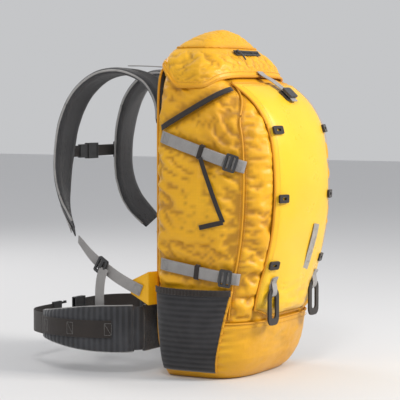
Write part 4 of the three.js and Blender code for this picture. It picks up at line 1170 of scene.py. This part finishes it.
def slab(name, width, tall, corner, centre, material, body, node, relief, seed, n=72):
    """A pad with rounded corners standing across X and Z, facing +Y, with its own relief (x, z → mm)."""
    u, v = np.meshgrid(np.linspace(-1, 1, n), np.linspace(-1, 1, n))
    # a square grid pulled to a rounded rectangle
    size = np.maximum(np.abs(u), np.abs(v))
    length = (np.abs(u) ** 9 + np.abs(v) ** 9) ** (1 / 9)
    scale = np.where(length > 0, size / np.maximum(length, 1e-9), 1)
    x = u * scale * (width / 2 - 0.8)
    z = v * scale * (tall / 2 - 0.8)
    inward = 1 - size
    rim = np.sqrt(np.clip(1 - (1 - np.clip(inward * min(width, tall) / 2 / corner, 0, 1)) ** 2, 0, 1))
    grid = np.stack([x, 0 * x, z], -1)
    lump = fractal(grid, (50, 1, 50), seed, 2) * 0.5
    top = (relief(x, z) + lump) * rim
    front = np.stack([x + centre[0], BACK + centre[1] + 0.6 + top, z + centre[2]], -1)
    rear = np.stack([front[..., 0], np.full(x.shape, BACK + centre[1] + 0.2), front[..., 2]], -1)
    points = np.concatenate([front.reshape(-1, 3), rear.reshape(-1, 3)])
    faces = [f[::-1] for f in grid_faces(n, n)] + [tuple(i + n * n for i in f) for f in grid_faces(n, n)]
    border = [*range(n), *range(2 * n - 1, n * n, n), *range(n * n - 2, n * n - n - 1, -1),
              *range(n * n - 2 * n, 0, -n)]
    faces += [(a, b, b + n * n, a + n * n) for a, b in zip(border, border[1:] + border[:1])]
    uvs = np.concatenate([np.stack([x, z], -1).reshape(-1, 2)] * 2) * MM
    piece = new_piece(name, points, faces, material, body, uvs)
    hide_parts(node)
    return np.array([front.reshape(-1, 3)[i] for i in border])


def back_relief(x, z):
    columns = 7.0 + 4.8 * np.exp(-((np.abs(x) - 62) / 34) ** 4)
    ribs = 4.2 * np.exp(-((np.mod(z + 30, 48) - 24) / 4.6) ** 2) * smooth_step(16, 26, np.abs(x))
    spine_channel = 6.5 * np.exp(-(x / 19) ** 4)
    return columns - spine_channel - ribs


edge = slab("back_pad", 236, 497, 26, (0, 0.6, 30 + 497 / 2), mesh_pad, "pack", "back_panel", back_relief, 71, 170)
tube("back_binding", edge + [0, -0.2, 0], 2.2, binding, "pack", closed=True)


def lumbar_relief(x, z):
    crown = 18.6 - 6.0 * (np.abs(x) / 82) ** 3 - 4.5 * np.exp(-(x / 14) ** 2)
    return crown - 3.0 * np.exp(-((np.abs(z) - 20) / 4.5) ** 2)


edge = slab("lumbar_cushion", 164, 88, 18, (0, 13.4, 170), mesh_pad, "pack", "lumbar_pad", lumbar_relief, 72)
tube("lumbar_binding", edge, 1.8, grey_binding, "pack", closed=True)

# the belt's core behind the lumbar pad
core = [(s * 130, BACK + 22 + 2 * abs(s), 80, 0, 1, 0, 80, 15) for s in (-1, -0.5, 0, 0.5, 1)]
path, normals, data = padded_strap("belt_core_pad", core, 60, mesh_pad, "pack", "hip_belt_core",
                                   channels=(-0.35, 0.35), seed=73)
both_edges("belt_core_piping", path[1:-1], normals[1:-1], data[1:-1, 6], 1.4, 1.8, grey_binding, "pack")

# along a hip wing: x, depth behind the back, width and thickness
WING = [(144, 33, 80, 12), (160, 50, 80, 13), (177, 88, 78, 14), (184, 130, 70, 13), (178, 172, 58, 12),
        (162, 206, 48, 10)]
BELT_HEIGHT = 80
for name, side in LEFT_RIGHT:
    body = f"hip_wing_{name}"
    rows = []
    for i, row in enumerate(WING):
        a, b = WING[max(i - 1, 0)], WING[min(i + 1, len(WING) - 1)]
        n = unit(np.array([b[1] - a[1], a[0] - b[0]], float))
        rows.append((side * row[0], BACK + row[1], BELT_HEIGHT, side * n[0], n[1], 0, row[2], row[3]))
    path, normals, data = padded_strap(f"wing_pad_{name}", rows, 80, pad_shell, body, f"hip_wing_{name}",
                                       channels=(-0.5, 0.5), seed=74)
    both_edges(f"wing_piping_{name}", path[2:-2], normals[2:-2], data[2:-2, 6], 1.4, 2.0, grey_binding, body)
    # webbing runs over the wing's face and on to the buckle
    face = path[22:-3] + normals[22:-3] * (data[22:-3, 7:8] / 2 + 0.5)
    webbing(f"wing_web_{name}", face, normals[22:-3], 30, 1.5, dark_web, body)
    for k in (2, 26, 48):
        along = face[k + 1] - face[k]
        box_stitch(f"wing_tack_{name}_{k}", face[k] + normals[22 + k] * 0.9, along, normals[22 + k], 20, 12,
                   grey_thread, body)
    end = 45 if side < 0 else 54.5
    tip = [(158.5, 214), (140, 240), (112, 258), (84, 262.5), (70, 262.5), (end, 262.5)]
    pts = np.array([(side * x, BACK + d, BELT_HEIGHT) for x, d in [(163.4, 203.0)] + tip])
    dense = np.vstack([spline(pts[:5], 46), np.linspace(pts[4], pts[6], 16)[1:]])
    tangent = unit(np.gradient(dense, axis=0))
    out = np.cross(tangent, [0, 0, 1.0])
    out *= np.sign(np.sum(out * (dense - [0, BACK + 120, BELT_HEIGHT]), -1, keepdims=True))
    belt = webbing(f"belt_web_{name}", dense, out, 37, 1.2, dark_web, body)
    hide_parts(f"hip_webbing_{name}")
    # bridge between the core and the wing
    bend = [(side * x, BACK + d, BELT_HEIGHT) for x, d in ((127, 24), (137, 25.5), (150, 38.5))]
    gap = spline(np.array(bend, float), 24)
    t = unit(np.gradient(gap, axis=0))
    out = np.cross([0, 0, 1.0], t) * -side
    out *= np.sign(np.sum(out * np.array([side * 0.5, 1.0, 0]), -1, keepdims=True))
    flex = swept(f"belt_flex_{name}", gap, out, pad_section(74, 6.0), pad_shell, None)
    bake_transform(flex)

# ---------------------------------------------------------------- sternum webbing
for name, ends in (("left", (-85, -30.2)), ("right", (25, 85))):
    xs = np.linspace(*ends, 24)
    path = np.stack([xs, np.full(24, BACK + 215.0), np.full(24, 375.0)], -1)
    strip = webbing(f"sternum_web_{name}", path, np.tile([0, 1.0, 0], (24, 1)), 20, 1.6, dark_web, "sternum_strap")
    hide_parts(f"sternum_webbing_{name}")

# ---------------------------------------------------------------- rigid pieces from the frame
# words in a piece's name, with its look, the width of its softened edges and their segments
FINISHES = ((("lid_zip_slider",), plastic, 0.4, 2),
            (("buckle", "ladder_lock", "sternum_slider", "closure_plate", "cord_lock"), plastic, 0.7, 3),
            (("lash_tab", "haul_loop"), dark_web, 1.0, 3), (("ice_axe_loop",), dark_web, 1.2, 3),
            (("frame_sheet",), sheet_plastic, 0.5, 2))
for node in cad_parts:
    finish = next((f[1:] for f in FINISHES if any(word in node for word in f[0])), None)
    if finish and node in bpy.data.objects:
        rigid(node, *finish)
